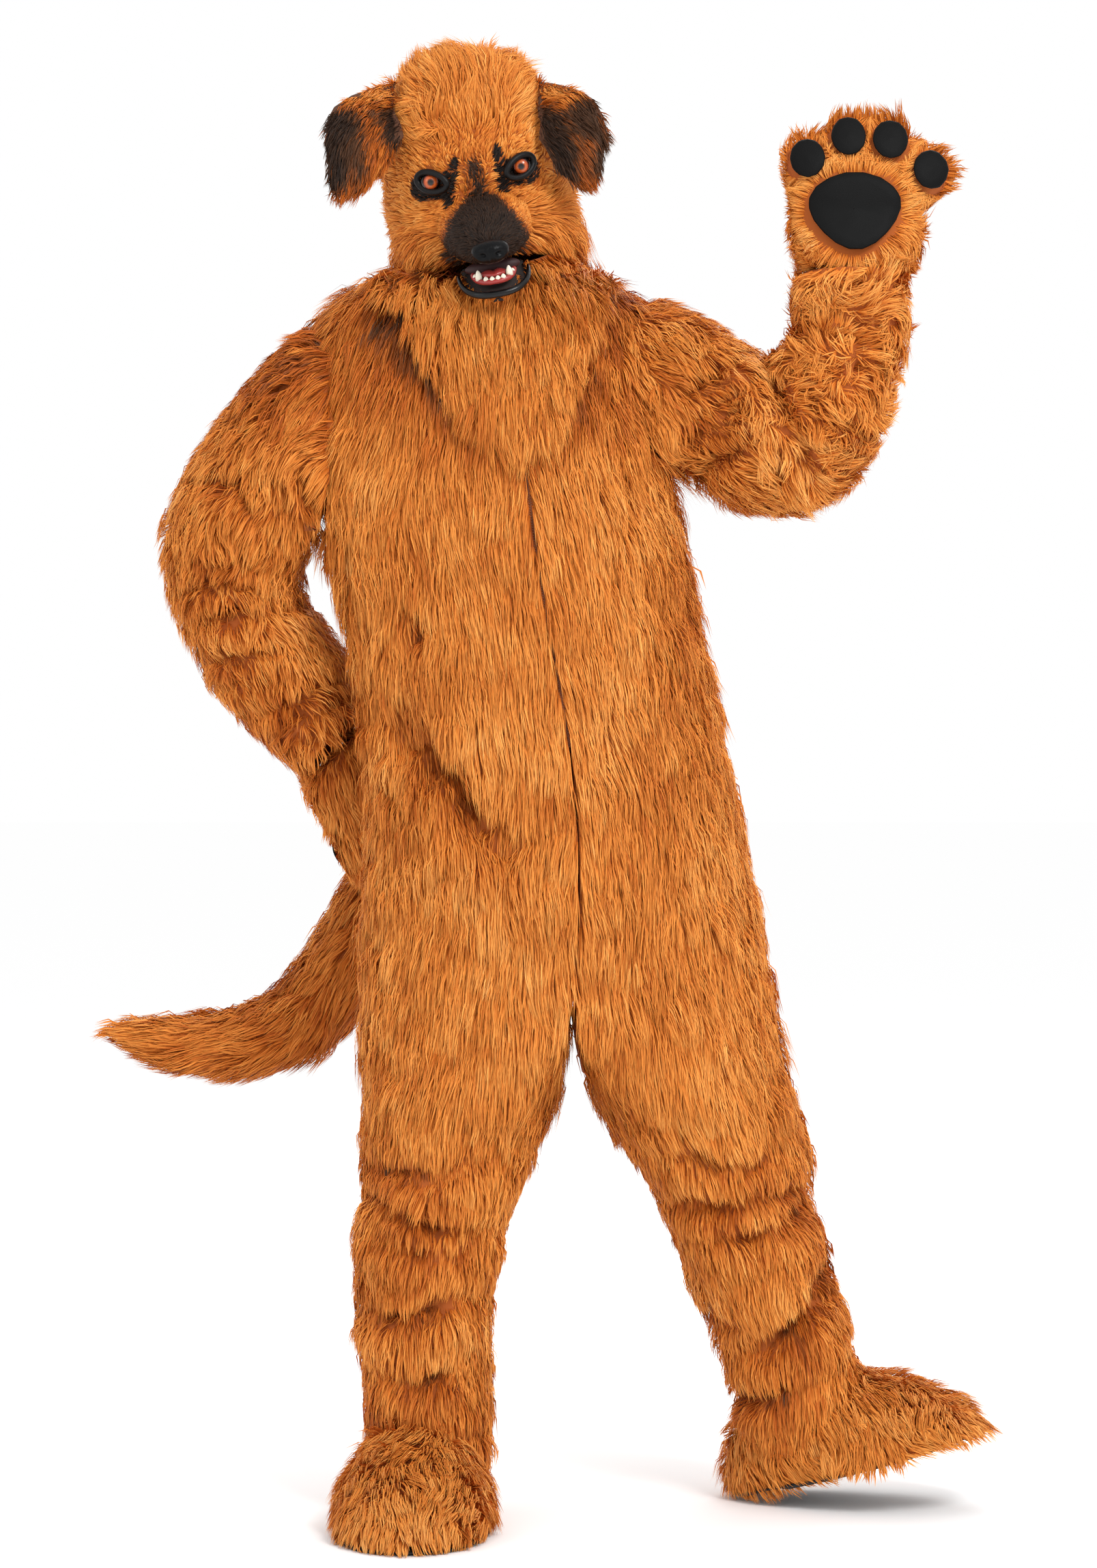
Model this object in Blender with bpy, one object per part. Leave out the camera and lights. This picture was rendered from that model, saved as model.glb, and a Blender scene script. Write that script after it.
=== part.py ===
"""A worn long-pile dog costume, hollow, in metres. +X is picture right, +Y is away from the front,
+Z is up; the origin is where the neck base rests on the shoulders."""

import math

import bmesh
import bpy
import numpy as np
from mathutils import Matrix, Vector

PILE_WALL = 0.011  # backing cloth with its laid pile
HAND_WALL = 0.009
SHORT_WALL = 0.006  # short-pile mask skin
SEAM_GAP = 0.0004
SEAT_GAP = 0.0003
TRIM_MARGIN = 0.0009  # the trimming trunk stands this far off the panels
ZIP_WIDTH = 0.0030
ZIP_DEPTHS = (0.002, 0.006)  # the band's face and back, below the panels' surface
FLOOR = -1.494
SEAT_LEVEL = -0.867  # where the trunk parts into the legs
CROTCH_X = 0.102
LEG_BLEND_ROWS = 4  # rows over which a half trunk turns into a round leg
LEG_BLEND_SWAY = 0.6

TORSO_COLUMNS = 7
INNER_LEG_COLUMNS = 4
TORSO_ROWS = 12
NECK_LEVELS = (0.042, 0.036, 0.022)  # heights of the rows on the shoulders
LEG_ROWS = 16
SLEEVE_RINGS = 19
SLEEVE_SEGMENTS = 14
SLEEVE_HOLE_RINGS = 8  # rings of the sleeve's hollow that open the trunk's side

# height, centre x, half width, depth to the front, depth to the back, x of the centre-front line
TORSO = (
    (0.042, 0.002, 0.090, 0.080, 0.080, 0.010),
    (0.036, 0.000, 0.150, 0.100, 0.100, 0.014),
    (0.014, -0.002, 0.196, 0.118, 0.118, 0.018),
    (-0.030, -0.004, 0.228, 0.134, 0.132, 0.022),
    (-0.100, -0.003, 0.234, 0.148, 0.140, 0.026),
    (-0.180, 0.000, 0.233, 0.153, 0.142, 0.040),
    (-0.252, 0.012, 0.224, 0.154, 0.140, 0.056),
    (-0.357, 0.034, 0.228, 0.154, 0.138, 0.067),
    (-0.454, 0.052, 0.225, 0.155, 0.140, 0.086),
    (-0.580, 0.078, 0.229, 0.158, 0.150, 0.106),
    (-0.700, 0.086, 0.243, 0.158, 0.158, 0.113),
    (-0.790, 0.093, 0.254, 0.152, 0.155, 0.110),
    (-0.867, 0.098, 0.260, 0.142, 0.145, 0.103),
)
# height, centre x, centre y, half width, half depth
RIGHT_LEG = (
    (-0.867, -0.031, 0.000, 0.131, 0.138),
    (-0.959, -0.033, -0.002, 0.123, 0.130),
    (-1.042, -0.050, -0.006, 0.115, 0.122),
    (-1.112, -0.067, -0.010, 0.104, 0.112),
    (-1.172, -0.073, -0.013, 0.096, 0.104),
    (-1.252, -0.078, -0.016, 0.087, 0.096),
    (-1.302, -0.076, -0.018, 0.084, 0.093),
    (-1.357, -0.072, -0.020, 0.085, 0.088),
    (-1.440, -0.076, -0.020, 0.080, 0.082),
)
LEFT_LEG = (
    (-0.867, 0.229, 0.000, 0.131, 0.138),
    (-0.930, 0.244, 0.012, 0.131, 0.132),
    (-1.003, 0.268, 0.024, 0.126, 0.124),
    (-1.073, 0.297, 0.036, 0.114, 0.115),
    (-1.134, 0.317, 0.048, 0.104, 0.108),
    (-1.175, 0.335, 0.056, 0.102, 0.104),
    (-1.219, 0.349, 0.064, 0.101, 0.102),
    (-1.281, 0.369, 0.076, 0.094, 0.097),
    (-1.339, 0.388, 0.086, 0.090, 0.093),
    (-1.430, 0.398, 0.094, 0.084, 0.084),
)
CROTCH_RISE = 0.022  # the crotch seam is this much higher at the front and back than underneath

# Soft ridges and troughs on the legs: height at the leg's front, rise to the leg's side towards +X,
# angle of the deepest spot (degrees, 0 = +X, 90 = front), angular reach, half height, push outwards
RIGHT_LEG_FOLDS = (
    (-1.035, -0.020, 90, 120, 0.026, -0.0101),
    (-1.075, -0.045, 120, 100, 0.024, -0.0145),
    (-1.098, -0.045, 110, 110, 0.022, 0.0101),
    (-1.140, 0.020, 70, 110, 0.021, -0.0130),
    (-1.165, 0.010, 100, 120, 0.019, 0.0087),
    (-1.200, 0.030, 80, 120, 0.021, -0.0130),
    (-1.250, 0.010, 100, 120, 0.022, 0.0072),
    (-1.300, 0.050, 70, 100, 0.022, -0.0130),
    (-1.325, 0.035, 90, 120, 0.019, 0.0087),
    (-1.120, 0.015, 270, 100, 0.024, -0.0130),
    (-1.175, -0.015, 270, 110, 0.022, -0.0116),
    (-1.290, 0.020, 270, 110, 0.022, -0.0101),
)
LEFT_LEG_FOLDS = (
    (-1.030, -0.030, 90, 110, 0.024, -0.0116),
    (-1.055, -0.020, 100, 120, 0.019, 0.0072),
    (-1.095, 0.010, 80, 120, 0.022, -0.0145),
    (-1.128, 0.005, 90, 120, 0.021, -0.0116),
    (-1.150, 0.010, 70, 110, 0.019, 0.0101),
    (-1.215, 0.090, 50, 90, 0.029, -0.0145),
    (-1.245, 0.085, 60, 90, 0.026, 0.0101),
    (-1.300, 0.040, 100, 110, 0.022, -0.0101),
    (-1.340, 0.010, 90, 120, 0.019, 0.0072),
    (-1.110, 0.015, 270, 100, 0.024, -0.0130),
    (-1.165, -0.010, 270, 110, 0.022, -0.0116),
    (-1.290, 0.020, 270, 110, 0.022, -0.0101),
)
# The large slanting folds of the trunk, from the hand on the hip down across the belly
TORSO_FOLDS = (
    (-0.555, -0.150, 150, 55, 0.024, -0.0174),
    (-0.590, -0.150, 145, 60, 0.022, 0.0116),
    (-0.420, -0.060, 165, 40, 0.024, -0.0101),
    (-0.230, 0.060, 20, 45, 0.026, -0.0101),
    (-0.800, 0.020, 90, 60, 0.036, -0.0087),
    (-0.560, 0.030, 270, 80, 0.036, -0.0101),
    (-0.790, 0.000, 270, 70, 0.036, -0.0087),
)

# Sleeve sections: one outline point (x, z), the opposite one (x, z), centre y, half depth
LEFT_SLEEVE = (
    (0.120, 0.012, 0.120, -0.198, 0.000, 0.098),
    (0.171, 0.018, 0.171, -0.200, 0.000, 0.098),
    (0.236, 0.010, 0.234, -0.206, 0.000, 0.098),
    (0.291, -0.022, 0.284, -0.238, -0.005, 0.098),
    (0.329, -0.051, 0.339, -0.257, -0.015, 0.097),
    (0.346, -0.064, 0.405, -0.256, -0.030, 0.095),
    (0.353, -0.062, 0.459, -0.215, -0.045, 0.090),
    (0.359, -0.052, 0.491, -0.154, -0.055, 0.083),
    (0.364, -0.037, 0.505, -0.092, -0.060, 0.078),
    (0.369, -0.014, 0.517, -0.037, -0.065, 0.074),
    (0.374, 0.012, 0.519, 0.006, -0.070, 0.071),
    (0.379, 0.038, 0.513, 0.038, -0.075, 0.067),
)
RIGHT_SLEEVE = (
    (-0.100, -0.245, -0.100, -0.003, 0.000, 0.098),
    (-0.147, -0.258, -0.150, -0.004, 0.000, 0.098),
    (-0.205, -0.279, -0.223, -0.015, 0.002, 0.098),
    (-0.216, -0.290, -0.284, -0.064, 0.010, 0.099),
    (-0.225, -0.303, -0.346, -0.128, 0.025, 0.100),
    (-0.234, -0.317, -0.388, -0.202, 0.040, 0.098),
    (-0.238, -0.332, -0.414, -0.274, 0.050, 0.094),
    (-0.234, -0.348, -0.408, -0.334, 0.060, 0.089),
    (-0.216, -0.368, -0.390, -0.392, 0.068, 0.085),
    (-0.194, -0.400, -0.361, -0.449, 0.078, 0.080),
    (-0.176, -0.433, -0.319, -0.505, 0.088, 0.075),
    (-0.162, -0.463, -0.270, -0.549, 0.098, 0.071),
    (-0.152, -0.490, -0.236, -0.576, 0.106, 0.066),
)
# Sleeve folds: ring share along the sleeve, slant, angle, angular reach, half length, push
LEFT_SLEEVE_FOLDS = (
    (0.17, 0.05, 60, 100, 0.035, -0.0130),
    (0.25, 0.05, 80, 100, 0.032, 0.0101),
    (0.33, -0.04, 90, 110, 0.032, -0.0130),
    (0.42, 0.02, 40, 110, 0.029, -0.0145),
    (0.50, -0.03, 70, 120, 0.029, 0.0116),
    (0.57, 0.03, 60, 110, 0.029, -0.0130),
    (0.66, -0.02, 100, 120, 0.029, 0.0087),
    (0.73, 0.02, 80, 120, 0.029, -0.0116),
    (0.84, -0.02, 90, 120, 0.032, -0.0101),
    (0.38, 0.03, 270, 110, 0.032, -0.0130),
    (0.62, -0.03, 270, 110, 0.032, -0.0116),
)
RIGHT_SLEEVE_FOLDS = (
    (0.20, 0.06, 70, 90, 0.035, -0.0116),
    (0.30, 0.05, 80, 100, 0.032, 0.0087),
    (0.40, 0.04, 60, 110, 0.032, -0.0145),
    (0.48, -0.03, 90, 120, 0.029, 0.0116),
    (0.55, 0.03, 70, 120, 0.029, -0.0145),
    (0.63, -0.02, 100, 120, 0.029, 0.0101),
    (0.70, 0.03, 60, 120, 0.029, -0.0130),
    (0.79, -0.03, 110, 120, 0.029, 0.0087),
    (0.86, 0.02, 80, 120, 0.029, -0.0116),
    (0.44, 0.03, 270, 110, 0.032, -0.0130),
    (0.66, -0.03, 270, 110, 0.032, -0.0116),
)

# Tail centre line from its seam at the seat: x, y, z, radius
TAIL = (
    (0.080, 0.100, -0.555, 0.052),
    (0.050, 0.175, -0.570, 0.060),
    (-0.010, 0.240, -0.598, 0.064),
    (-0.080, 0.276, -0.655, 0.066),
    (-0.130, 0.286, -0.725, 0.066),
    (-0.176, 0.282, -0.804, 0.066),
    (-0.232, 0.270, -0.880, 0.062),
    (-0.302, 0.256, -0.918, 0.055),
    (-0.380, 0.252, -0.928, 0.046),
    (-0.445, 0.250, -0.919, 0.036),
    (-0.486, 0.250, -0.908, 0.023),
    (-0.505, 0.250, -0.904, 0.008),
)
TAIL_SEGMENTS = 10

HEAD_CENTRE = Vector((-0.018, 0.005, 0.178))
HEAD_ROLL = math.radians(-10)
HEAD_PITCH = math.radians(13)
# Head sections in the head's own frame: height, centre y, half width, depth front, depth back
HEAD = (
    (-0.106, -0.010, 0.115, 0.114, 0.100),
    (-0.075, -0.004, 0.117, 0.118, 0.110),
    (-0.035, 0.000, 0.117, 0.120, 0.122),
    (0.015, 0.000, 0.116, 0.120, 0.128),
    (0.060, 0.002, 0.108, 0.112, 0.124),
    (0.100, 0.006, 0.093, 0.094, 0.110),
    (0.130, 0.010, 0.068, 0.068, 0.084),
    (0.148, 0.014, 0.036, 0.038, 0.048),
)
HEAD_RINGS = 10
HEAD_SEGMENTS = 24
CROWN_INSET = 0.004
# The neck and bib in the world frame: height at the sides, extra drop at the front point, extra drop at
# the back, centre x, half width, depth front, depth back
BIB = (
    (0.056, 0.030, 0.000, -0.014, 0.123, 0.120, 0.108),
    (0.051, 0.085, 0.020, -0.010, 0.134, 0.138, 0.120),
    (0.046, 0.150, 0.045, -0.003, 0.142, 0.155, 0.136),
    (0.040, 0.212, 0.075, 0.006, 0.148, 0.166, 0.150),
)
BIB_ROWS = 5
NECK_STEP = 0.02
COLLAR = (0, 0, 0, 0.106, 0.110, 0.106)  # the neck hole's row in the same columns
COLLAR_HEIGHTS = (0.05, 0.02)
BIB_LEAN = 0.18  # how far the point drifts towards +X for its drop

EAR_ROWS = 11
EAR_SEGMENTS = 14
EAR_CUP = 0.012  # how far the flap's edges curl back
# Ear sections from the head outwards: one edge (x, z), the other edge (x, z), y, half thickness
LEFT_EAR = (
    (0.020, 0.232, 0.036, 0.284, -0.030, 0.010),
    (0.046, 0.224, 0.064, 0.279, -0.060, 0.009),
    (0.054, 0.212, 0.096, 0.272, -0.084, 0.008),
    (0.061, 0.192, 0.132, 0.256, -0.098, 0.008),
    (0.071, 0.170, 0.150, 0.220, -0.104, 0.008),
    (0.086, 0.153, 0.150, 0.184, -0.102, 0.007),
    (0.104, 0.143, 0.140, 0.157, -0.098, 0.006),
    (0.119, 0.134, 0.127, 0.136, -0.092, 0.004),
)
RIGHT_EAR = (
    (-0.080, 0.236, -0.092, 0.288, -0.030, 0.010),
    (-0.092, 0.228, -0.132, 0.276, -0.060, 0.009),
    (-0.096, 0.212, -0.172, 0.258, -0.086, 0.008),
    (-0.100, 0.192, -0.201, 0.232, -0.104, 0.008),
    (-0.108, 0.171, -0.205, 0.196, -0.110, 0.008),
    (-0.124, 0.152, -0.202, 0.164, -0.108, 0.007),
    (-0.144, 0.137, -0.196, 0.140, -0.102, 0.006),
    (-0.164, 0.127, -0.189, 0.125, -0.096, 0.004),
)

# Left palm toe pads: x, z, half width, half height
LEFT_TOES = (
    (0.389, 0.174, 0.0215, 0.0248),
    (0.439, 0.201, 0.0215, 0.0248),
    (0.490, 0.197, 0.0222, 0.0248),
    (0.539, 0.160, 0.0222, 0.0248),
)
MITT_CENTRE = (0.452, 0.112)
MITT_HALF_WIDTH = 0.082
MITT_HALF_HEIGHT = 0.090
MITT_SQUARE = 3.2  # 2 would make the palm an ellipse
MITT_LIFT = 0.044
TOE_LOBE = 0.034  # radius of a toe lobe round its pad
MAIN_PAD = (-0.006, 0.000)  # its centre on the palm
MAIN_PAD_WIDTH = 0.056
MAIN_PAD_HEIGHTS = (0.041, 0.049)  # above and below its centre
PAD_THICKNESS = 0.0024
PAD_SINK = 0.004
PAW_SQUARE = 0.6
MITT_SEGMENTS = 28
MITT_RINGS = 3

MATERIALS = {
    "ginger_pile": ((0.56, 0.205, 0.047), 0.85),
    "mask_pile": ((0.60, 0.25, 0.075), 0.85),
    "muzzle_pile": ((0.062, 0.032, 0.017), 0.8),
    "ear_pile": ((0.075, 0.036, 0.016), 0.85),
    "pad_cloth": ((0.012, 0.011, 0.010), 0.75),
    "sole_cloth": ((0.012, 0.011, 0.011), 0.8),
    "zip_tape": ((0.10, 0.035, 0.012), 0.7),
    "gloss_black": ((0.006, 0.005, 0.005), 0.18),
    "eye_glass": ((0.48, 0.12, 0.025), 0.08),
    "tooth_ivory": ((0.78, 0.70, 0.56), 0.3),
    "tongue_red": ((0.42, 0.06, 0.045), 0.35),
    "mouth_dark": ((0.05, 0.008, 0.006), 0.4),
}


def material(name):
    found = bpy.data.materials.get(name)
    if found:
        return found
    made = bpy.data.materials.new(name)
    made.use_nodes = True
    shader = made.node_tree.nodes["Principled BSDF"]
    colour, roughness = MATERIALS[name]
    shader.inputs["Base Color"].default_value = (*colour, 1.0)
    shader.inputs["Roughness"].default_value = roughness
    shader.inputs["Metallic"].default_value = 0.0
    return made


def add_solid(name, points, faces, material_name):
    mesh = bpy.data.meshes.new(name)
    mesh.from_pydata([tuple(p) for p in points], [], faces)
    bm = bmesh.new()
    bm.from_mesh(mesh)
    bmesh.ops.recalc_face_normals(bm, faces=bm.faces)
    if bm.calc_volume(signed=True) < 0:
        bmesh.ops.reverse_faces(bm, faces=bm.faces)
    bmesh.ops.triangulate(bm, faces=bm.faces, quad_method="SHORT_EDGE")
    bm.to_mesh(mesh)
    bm.free()
    for polygon in mesh.polygons:
        polygon.use_smooth = True
    mesh.materials.append(material(material_name))
    solid = bpy.data.objects.new(name, mesh)
    bpy.context.scene.collection.objects.link(solid)
    return solid


def as_cutter(solid):
    solid.hide_render = True
    solid.display_type = "WIRE"
    return solid


def boolean(solid, cutter):
    step = solid.modifiers.new(cutter.name, "BOOLEAN")
    step.operation = "DIFFERENCE"
    step.solver = "EXACT"
    step.object = cutter


def smooth_rows(table, count):
    """The table's rows blended to `count` rows through a Catmull-Rom curve."""
    rows = np.array(table, float)
    padded = np.vstack([2 * rows[0] - rows[1], rows, 2 * rows[-1] - rows[-2]])
    steps = np.linalg.norm(np.diff(rows[:, :2], axis=0), axis=1) + 0.01
    marks = np.concatenate([[0], np.cumsum(steps)])
    blended = []
    for place in np.linspace(0, marks[-1], count):
        k = min(int(np.searchsorted(marks, place, side="right")) - 1, len(rows) - 2)
        t = (place - marks[k]) / (marks[k + 1] - marks[k])
        a, b, c, d = padded[k : k + 4]
        curve = (2 * b) + (c - a) * t + (2 * a - 5 * b + 4 * c - d) * t**2 + (3 * b - a - 3 * c + d) * t**3
        blended.append(curve / 2)
    return np.array(blended)


def rows_at(table, heights):
    """The table's columns at the given heights, blended smoothly."""
    rows = np.array(table, float)[::-1]
    found = []
    for height in heights:
        k = int(np.clip(np.searchsorted(rows[:, 0], height) - 1, 0, len(rows) - 2))
        low, high = rows[k], rows[k + 1]
        t = (height - low[0]) / (high[0] - low[0])
        before, after = rows[max(k - 1, 0)], rows[min(k + 2, len(rows) - 1)]
        rise_low = (high - before) / (high[0] - before[0])
        rise_high = (after - low) / (after[0] - low[0])
        span = high[0] - low[0]
        found.append(
            low * (2 * t**3 - 3 * t**2 + 1)
            + high * (3 * t**2 - 2 * t**3)
            + rise_low * span * (t**3 - 2 * t**2 + t)
            + rise_high * span * (t**3 - t**2)
        )
    return np.array(found)


def fold_push(folds, along, angle):
    """Push of all folds at a place along the tube and a turn (degrees) round it."""
    push = 0.0
    for place, slant, centre, reach, half, height in folds:
        off = (angle - centre + 180) % 360 - 180
        side = math.sin(math.radians(off)) * slant
        fade = max(0.0, math.cos(math.radians(min(abs(off) / reach * 90, 90))))
        push += height * fade * math.exp(-(((along - place - side) / half) ** 2))
    return push


def wall(name, outer, inner, closed, material_name):
    """A closed wall between two grids of points [row][column]; None marks a place without cloth."""
    rows, columns = len(outer), len(outer[0])
    index, points = {}, []
    for layer, grid in enumerate((outer, inner)):
        for r in range(rows):
            for c in range(columns):
                if grid[r][c] is not None:
                    index[layer, r, c] = len(points)
                    points.append(grid[r][c])
    faces, edges = [], {}
    for r in range(rows - 1):
        for c in range(columns if closed else columns - 1):
            corners = [(r, c), (r, (c + 1) % columns), (r + 1, (c + 1) % columns), (r + 1, c)]
            if any((0, *corner) not in index for corner in corners):
                continue
            faces.append([index[0, *corner] for corner in corners])
            faces.append([index[1, *corner] for corner in reversed(corners)])
            for start, end in zip(corners, corners[1:] + corners[:1]):
                edges[start, end] = edges.get((start, end), 0) + 1
    for start, end in edges:
        if (end, start) not in edges:
            faces.append([index[0, *end], index[0, *start], index[1, *start], index[1, *end]])
    return add_solid(name, points, faces, material_name)


def filled(name, rings, material_name):
    """A filled solid through closed rings of equal count, both ends capped."""
    count = len(rings[0])
    points = [p for ring in rings for p in ring]
    faces = []
    for r in range(len(rings) - 1):
        for c in range(count):
            d = (c + 1) % count
            a, b = r * count, (r + 1) * count
            faces.append([a + c, a + d, b + d, b + c])
    for base, ring in ((0, rings[0]), ((len(rings) - 1) * count, rings[-1])):
        points.append(sum((Vector(p) for p in ring), Vector()) / count)
        middle = len(points) - 1
        for c in range(count):
            faces.append([base + c, base + (c + 1) % count, middle])
    return add_solid(name, points, faces, material_name)


def box(name, low, high):
    corners = [(x, y, z) for z in (low[2], high[2]) for y in (low[1], high[1]) for x in (low[0], high[0])]
    faces = [(0, 1, 3, 2), (4, 5, 7, 6), (0, 1, 5, 4), (2, 3, 7, 6), (0, 2, 6, 4), (1, 3, 7, 5)]
    return as_cutter(add_solid(name, corners, faces, "ginger_pile"))


def inset(point, axis, depth):
    way = Vector(axis) - Vector(point)
    return Vector(point) + way.normalized() * depth


def torso_point(row, degrees):
    """A point of the trunk at this turn: 0 = picture right, 90 = front, 180 = picture left, 270 = back."""
    height, centre, half_width, front, back, _ = row
    turn = math.radians(degrees)
    depth = front if math.sin(turn) >= 0 else back
    push = fold_push(TORSO_FOLDS, height, degrees % 360)
    return Vector(
        (
            centre + (half_width + push) * math.cos(turn),
            -(depth + push) * math.sin(turn),
            height,
        )
    )


def centre_turns(row):
    """Turns (degrees) of the centre-front and centre-back seams on this row."""
    lean = math.degrees(math.asin((row[5] - row[1]) / row[2]))
    return 90 - lean, 270 + lean * 0.4


TORSO_LEVELS = np.concatenate(
    [NECK_LEVELS, np.linspace(0.0, SEAT_LEVEL, TORSO_ROWS - len(NECK_LEVELS))]
)
TORSO_LINES = rows_at(TORSO, TORSO_LEVELS)


def leg_point(row, degrees, folds):
    height, x, y, half_width, half_depth = row
    turn = math.radians(degrees)
    push = fold_push(folds, height, degrees % 360)
    return Vector(
        (x + (half_width + push) * math.cos(turn), y - (half_depth + push) * math.sin(turn), height)
    )


def half_panel(name, side, front):
    """One of the four trunk-and-leg pieces. side: +1 picture right, -1 picture left."""
    legs, folds = (LEFT_LEG, LEFT_LEG_FOLDS) if side > 0 else (RIGHT_LEG, RIGHT_LEG_FOLDS)
    facing = 1 if front else -1
    levels = np.linspace(SEAT_LEVEL, legs[-1][0], LEG_ROWS)
    leg_rows = rows_at(legs, levels)
    columns = TORSO_COLUMNS + INNER_LEG_COLUMNS
    side_turn = 0 if side > 0 else 180
    first = side_turn + (360 if not front and side > 0 else 0)

    def trunk_line(row):
        middle = centre_turns(row)[0 if front else 1]
        turns = [first + (middle - first) * c / TORSO_COLUMNS for c in range(TORSO_COLUMNS + 1)]
        return [torso_point(row, turn) for turn in turns]

    outer, inner = [], []
    for row in TORSO_LINES[:-1]:
        line = trunk_line(row)
        axis = Vector((row[1], 0, row[0]))
        outer.append(line + [None] * INNER_LEG_COLUMNS)
        inner.append([inset(p, axis, PILE_WALL) for p in line] + [None] * INNER_LEG_COLUMNS)
    seat = trunk_line(TORSO_LINES[-1])
    edge = seat[-1]
    for c in range(1, INNER_LEG_COLUMNS + 1):
        t = c / INNER_LEG_COLUMNS
        seat.append(Vector((edge.x + (CROTCH_X - edge.x) * t, edge.y * (1 - t), edge.z)))
    for c, point in enumerate(seat):
        reach = min(1.0, max(0.0, 1 - abs(c - TORSO_COLUMNS) / INNER_LEG_COLUMNS))
        point.z += CROTCH_RISE * reach**2
    for r, row in enumerate(leg_rows):
        sweep = facing * (180 if side > 0 else -180)
        line = [leg_point(row, side_turn + sweep * c / columns, folds) for c in range(columns + 1)]
        if r < LEG_BLEND_ROWS:
            blend = r / LEG_BLEND_ROWS
            blend = blend * blend * (3 - 2 * blend)
            mixed = []
            for c, round_point in enumerate(line):
                flat = seat[c] + Vector((row[1] - leg_rows[0][1], 0, 0)) * LEG_BLEND_SWAY
                flat.z = round_point.z + (seat[c].z - SEAT_LEVEL) * (1 - blend)
                mixed.append(flat.lerp(round_point, blend))
            line = mixed
        axis = Vector((row[1], row[2], row[0]))
        outer.append(line)
        inner.append([inset(p, axis, PILE_WALL) for p in line])
    pull_seams(outer, inner, side, front)
    return wall(name, outer, inner, False, "ginger_pile")


def pull_seams(outer, inner, side, front):
    """Draws each panel's edges back from the seams it shares, so that neighbours stay apart."""
    torso_count = len(TORSO_LINES) - 1
    for grid in (outer, inner):
        for r, line in enumerate(grid):
            line[0].y += -SEAM_GAP / 2 if front else SEAM_GAP / 2
            if r < torso_count:
                line[TORSO_COLUMNS].x += side * (ZIP_WIDTH / 2 + SEAM_GAP if front else SEAM_GAP / 2)
                continue
            line[-1].y += -SEAM_GAP / 2 if front else SEAM_GAP / 2
            if r - torso_count <= 1:
                for c in range(TORSO_COLUMNS, len(line)):
                    line[c].x += side * SEAM_GAP


def zip_strip():
    """The zip band between the two front halves, from the neck to above the crotch."""
    outer, inner = [], []
    for row in TORSO_LINES[1:-3]:
        turn = centre_turns(row)[0]
        point = torso_point(row, turn)
        axis = Vector((row[1], 0, row[0]))
        skin, back = (inset(point, axis, depth) for depth in ZIP_DEPTHS)
        half = Vector((ZIP_WIDTH / 2 - SEAM_GAP / 4, 0, 0))
        outer.append([skin - half, skin + half])
        inner.append([back - half, back + half])
    return wall("zip_front", outer, inner, False, "zip_tape")


def trunk_cutter():
    """The filled trunk, a hair larger, that trims whatever lies against it."""
    rings = []
    for row in TORSO_LINES:
        front, back = centre_turns(row)
        marks = (0, front, 180, back, 360)
        steps = np.arange(TORSO_COLUMNS) / TORSO_COLUMNS
        turns = [start + (end - start) * t for start, end in zip(marks, marks[1:]) for t in steps]
        grown = row + np.array([0, 0, 1, 1, 1, 0]) * TRIM_MARGIN
        rings.append([torso_point(grown, turn) for turn in turns])
    return as_cutter(filled("trunk_cutter", rings, "ginger_pile"))


def sleeve_rings(table, folds, count, segments, inward=0.0):
    rows = smooth_rows(table, count)
    rings = []
    for r, (ax, az, bx, bz, y, depth) in enumerate(rows):
        a, b = Vector((ax, y, az)), Vector((bx, y, bz))
        centre, half = (a + b) / 2, (b - a) / 2
        reach = half.length
        ring = []
        for k in range(segments):
            degrees = k * 360 / segments
            turn = math.radians(degrees)
            push = fold_push(folds, r / (count - 1), degrees) - inward
            across = half / reach * (reach + push) * math.cos(turn)
            ring.append(centre + across + Vector((0, -(depth + push) * math.sin(turn), 0)))
        rings.append(ring)
    return rings


def sleeve(name, table, folds, trunk):
    """A sleeve trimmed to the trunk. Gives the solid that opens the trunk's side for it."""
    outer = sleeve_rings(table, folds, SLEEVE_RINGS, SLEEVE_SEGMENTS)
    inner = sleeve_rings(table, folds, SLEEVE_RINGS, SLEEVE_SEGMENTS, PILE_WALL)
    solid = wall(name, outer, inner, True, "ginger_pile")
    boolean(solid, trunk)
    return as_cutter(filled(name + "_hole", inner[:SLEEVE_HOLE_RINGS], "ginger_pile"))


def dome(outline, lift, rings, segments, place, square=1.0):
    """Grid of points over an outline: `place(u, v, w)` puts them in space, `lift(u, v)` is the height.
    A square below 1 makes the dome flatter on top with steeper sides."""
    grid = []
    for r in range(rings + 1):
        phi = r / rings * math.pi / 2
        share = math.cos(phi) ** square if r < rings else 0.02
        height = math.sin(phi) ** square
        line = []
        for k in range(segments):
            turn = k * 2 * math.pi / segments
            u, v = outline(turn)
            u, v = u * share, v * share
            line.append(place(u, v, lift(u, v) * height))
        grid.append(line)
    return grid


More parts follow.
